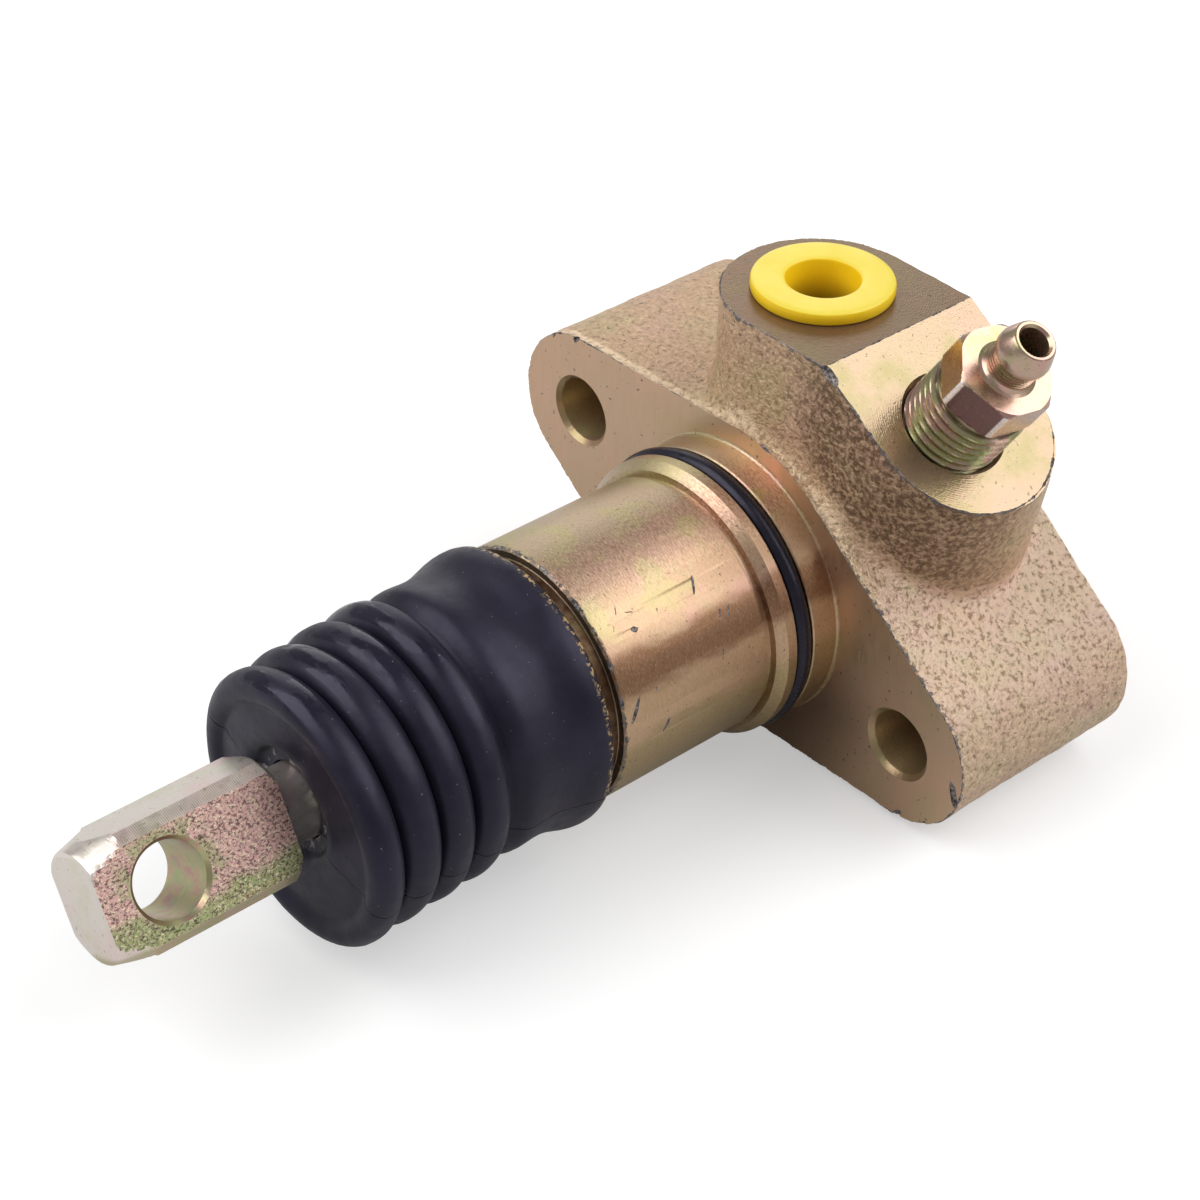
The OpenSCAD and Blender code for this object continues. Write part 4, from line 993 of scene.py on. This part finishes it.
def spring_tree():
    """Geometry nodes that wind a wire round the bore's axis with named sizes."""
    tree = bpy.data.node_groups.new("wound_spring", "GeometryNodeTree")
    sizes = (("Coil radius", 0.0064), ("Wire radius", 0.0006), ("Length", 0.0272), ("Turns", 7.0))
    for name, value in sizes:
        socket = tree.interface.new_socket(name, in_out="INPUT", socket_type="NodeSocketFloat")
        socket.default_value = value
    tree.interface.new_socket("Spring", in_out="OUTPUT", socket_type="NodeSocketGeometry")
    given = tree.nodes.new("NodeGroupInput").outputs

    def added(kind, **values):
        node = tree.nodes.new(kind)
        for socket, value in values.items():
            feed(tree, node.inputs[socket.replace("_", " ")], value)
        return node.outputs[0]

    def maths(how, first, second=0.0):
        return sum_of(tree, how, first, second)

    along = tree.nodes.new("GeometryNodeSplineParameter").outputs["Factor"]
    all_turns = maths("ADD", given["Turns"], 2.0)
    angle = maths("MULTIPLY", maths("MULTIPLY", along, all_turns), 2 * math.pi)
    # One turn at each end lies closed, and the others share the room between
    dead = maths("DIVIDE", 1.0, all_turns)
    rise = maths("DIVIDE", maths("SUBTRACT", along, dead),
                 maths("SUBTRACT", 1.0, maths("MULTIPLY", dead, 2.0)))
    open_share = maths("MINIMUM", maths("MAXIMUM", rise, 0.0), 1.0)
    closed_low = maths("MINIMUM", maths("DIVIDE", along, dead), 1.0)
    closed_high = maths("MAXIMUM", maths("DIVIDE", maths(
        "ADD", maths("SUBTRACT", along, 1.0), dead), dead), 0.0)
    wire = maths("MULTIPLY", given["Wire radius"], 2.05)
    room = maths("SUBTRACT", given["Length"], maths("MULTIPLY", wire, 2.0))
    height = maths("ADD", maths("MULTIPLY", open_share, room),
                   maths("MULTIPLY", maths("ADD", closed_low, closed_high), wire))
    at = added("ShaderNodeCombineXYZ",
               X=maths("MULTIPLY", maths("COSINE", angle), given["Coil radius"]),
               Y=maths("SUBTRACT", 0.0178, height),
               Z=maths("MULTIPLY", maths("SINE", angle), given["Coil radius"]))
    line = added("GeometryNodeResampleCurve", Count=420,
                 Curve=added("GeometryNodeCurvePrimitiveLine"))
    section = added("GeometryNodeCurvePrimitiveCircle", Resolution=12, Radius=given["Wire radius"])
    swept = added("GeometryNodeCurveToMesh", Profile_Curve=section, Fill_Caps=True,
                  Curve=added("GeometryNodeSetPosition", Geometry=line, Position=at))
    steel = added("GeometryNodeSetMaterial", Material=spring_steel,
                  Geometry=added("GeometryNodeRealizeInstances", Geometry=swept))
    tree.links.new(steel, tree.nodes.new("NodeGroupOutput").inputs[0])
    return tree


spring = placed("return_spring_coil", bpy.data.meshes.new("return_spring_coil"))
winding = spring.modifiers.new("winding", "NODES")
winding.node_group = spring_tree()
settle(spring)
spring.data.shade_smooth()
spring.data.set_sharp_from_angle(angle=math.radians(50))
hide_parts("return_spring")
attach(spring, "casting")
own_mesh(spring)

# ---------------------------------------------------------------- studio
# The cylinder lies on a plain pale floor, as for a catalogue picture. The largest soft light
# stands behind it on the right, a second one in front, and a weak one behind on the left.
floor_work = bmesh.new()
side, level = 2.5, -0.01675
floor_work.faces.new([floor_work.verts.new((x * side, y * side, level))
                      for x, y in ((-1, -1), (1, -1), (1, 1), (-1, 1))])
floor = piece_from(floor_work, "floor")
floor_finish, tree, shader = start_finish("floor_paper")
colour = tint(tree, grain(tree, 40, 2), (0.60, 0.60, 0.60), (0.62, 0.62, 0.62))
tree.links.new(colour, shader.inputs["Base Color"])
shader.inputs["Roughness"].default_value = 0.9
shader.inputs["Specular IOR Level"].default_value = 0.1
path = tree.nodes.new("ShaderNodeLightPath")
seen = sum_of(tree, "MULTIPLY_ADD", path.outputs["Is Glossy Ray"], 0.03,
              product(tree, path.outputs["Is Camera Ray"], 0.44))
shader.inputs["Emission Color"].default_value = (1, 1, 1, 1)
feed(tree, shader.inputs["Emission Strength"], seen)
floor.data.materials.append(floor_finish)


def soft_light(name, place, target, width, power):
    lamp = bpy.data.lights.new(name, "AREA")
    lamp.shape, lamp.size, lamp.energy = "SQUARE", width, power
    turn = (Vector(target) - Vector(place)).to_track_quat("-Z", "Y").to_matrix().to_4x4()
    placed(name, lamp).matrix_world = Matrix.Translation(place) @ turn


soft_light("right_window", (0.42, 0.47, 0.62), (0, -0.01, 0.01), 0.85, 6.2)
soft_light("front_top", (-0.30, -0.42, 0.55), (0, -0.01, 0), 0.7, 4.4)
soft_light("left_back", (-0.60, 0.44, 0.28), (0, -0.01, 0), 0.5, 0.9)

world = bpy.data.worlds.new("studio")
bpy.context.scene.world = world
world.use_nodes = True
backdrop = world.node_tree.nodes["Background"]
backdrop.inputs["Color"].default_value = (1, 1, 1, 1)
path = world.node_tree.nodes.new("ShaderNodeLightPath")
feed(world.node_tree, backdrop.inputs["Strength"], ramp(
    world.node_tree, path.outputs["Is Camera Ray"], 0, 1, 0.3, 1))

lens = bpy.data.cameras.new("camera")
lens.sensor_width, lens.sensor_height, lens.sensor_fit, lens.lens = 36, 36, "HORIZONTAL", 83.9
lens.clip_start, lens.clip_end = 0.01, 20
camera = placed("camera", lens)
right, down, ahead = ((0.65920, 0.75174, 0.01840), (0.45920, -0.38305, -0.80151),
                      (-0.59547, 0.53681, -0.59770))
camera.matrix_world = Matrix.Translation((0.1574, -0.1596, 0.1630)) @ Matrix((
    (right[0], -down[0], -ahead[0], 0), (right[1], -down[1], -ahead[1], 0),
    (right[2], -down[2], -ahead[2], 0), (0, 0, 0, 1)))
bpy.context.scene.camera = camera
bpy.context.scene.view_settings.view_transform = "Standard"
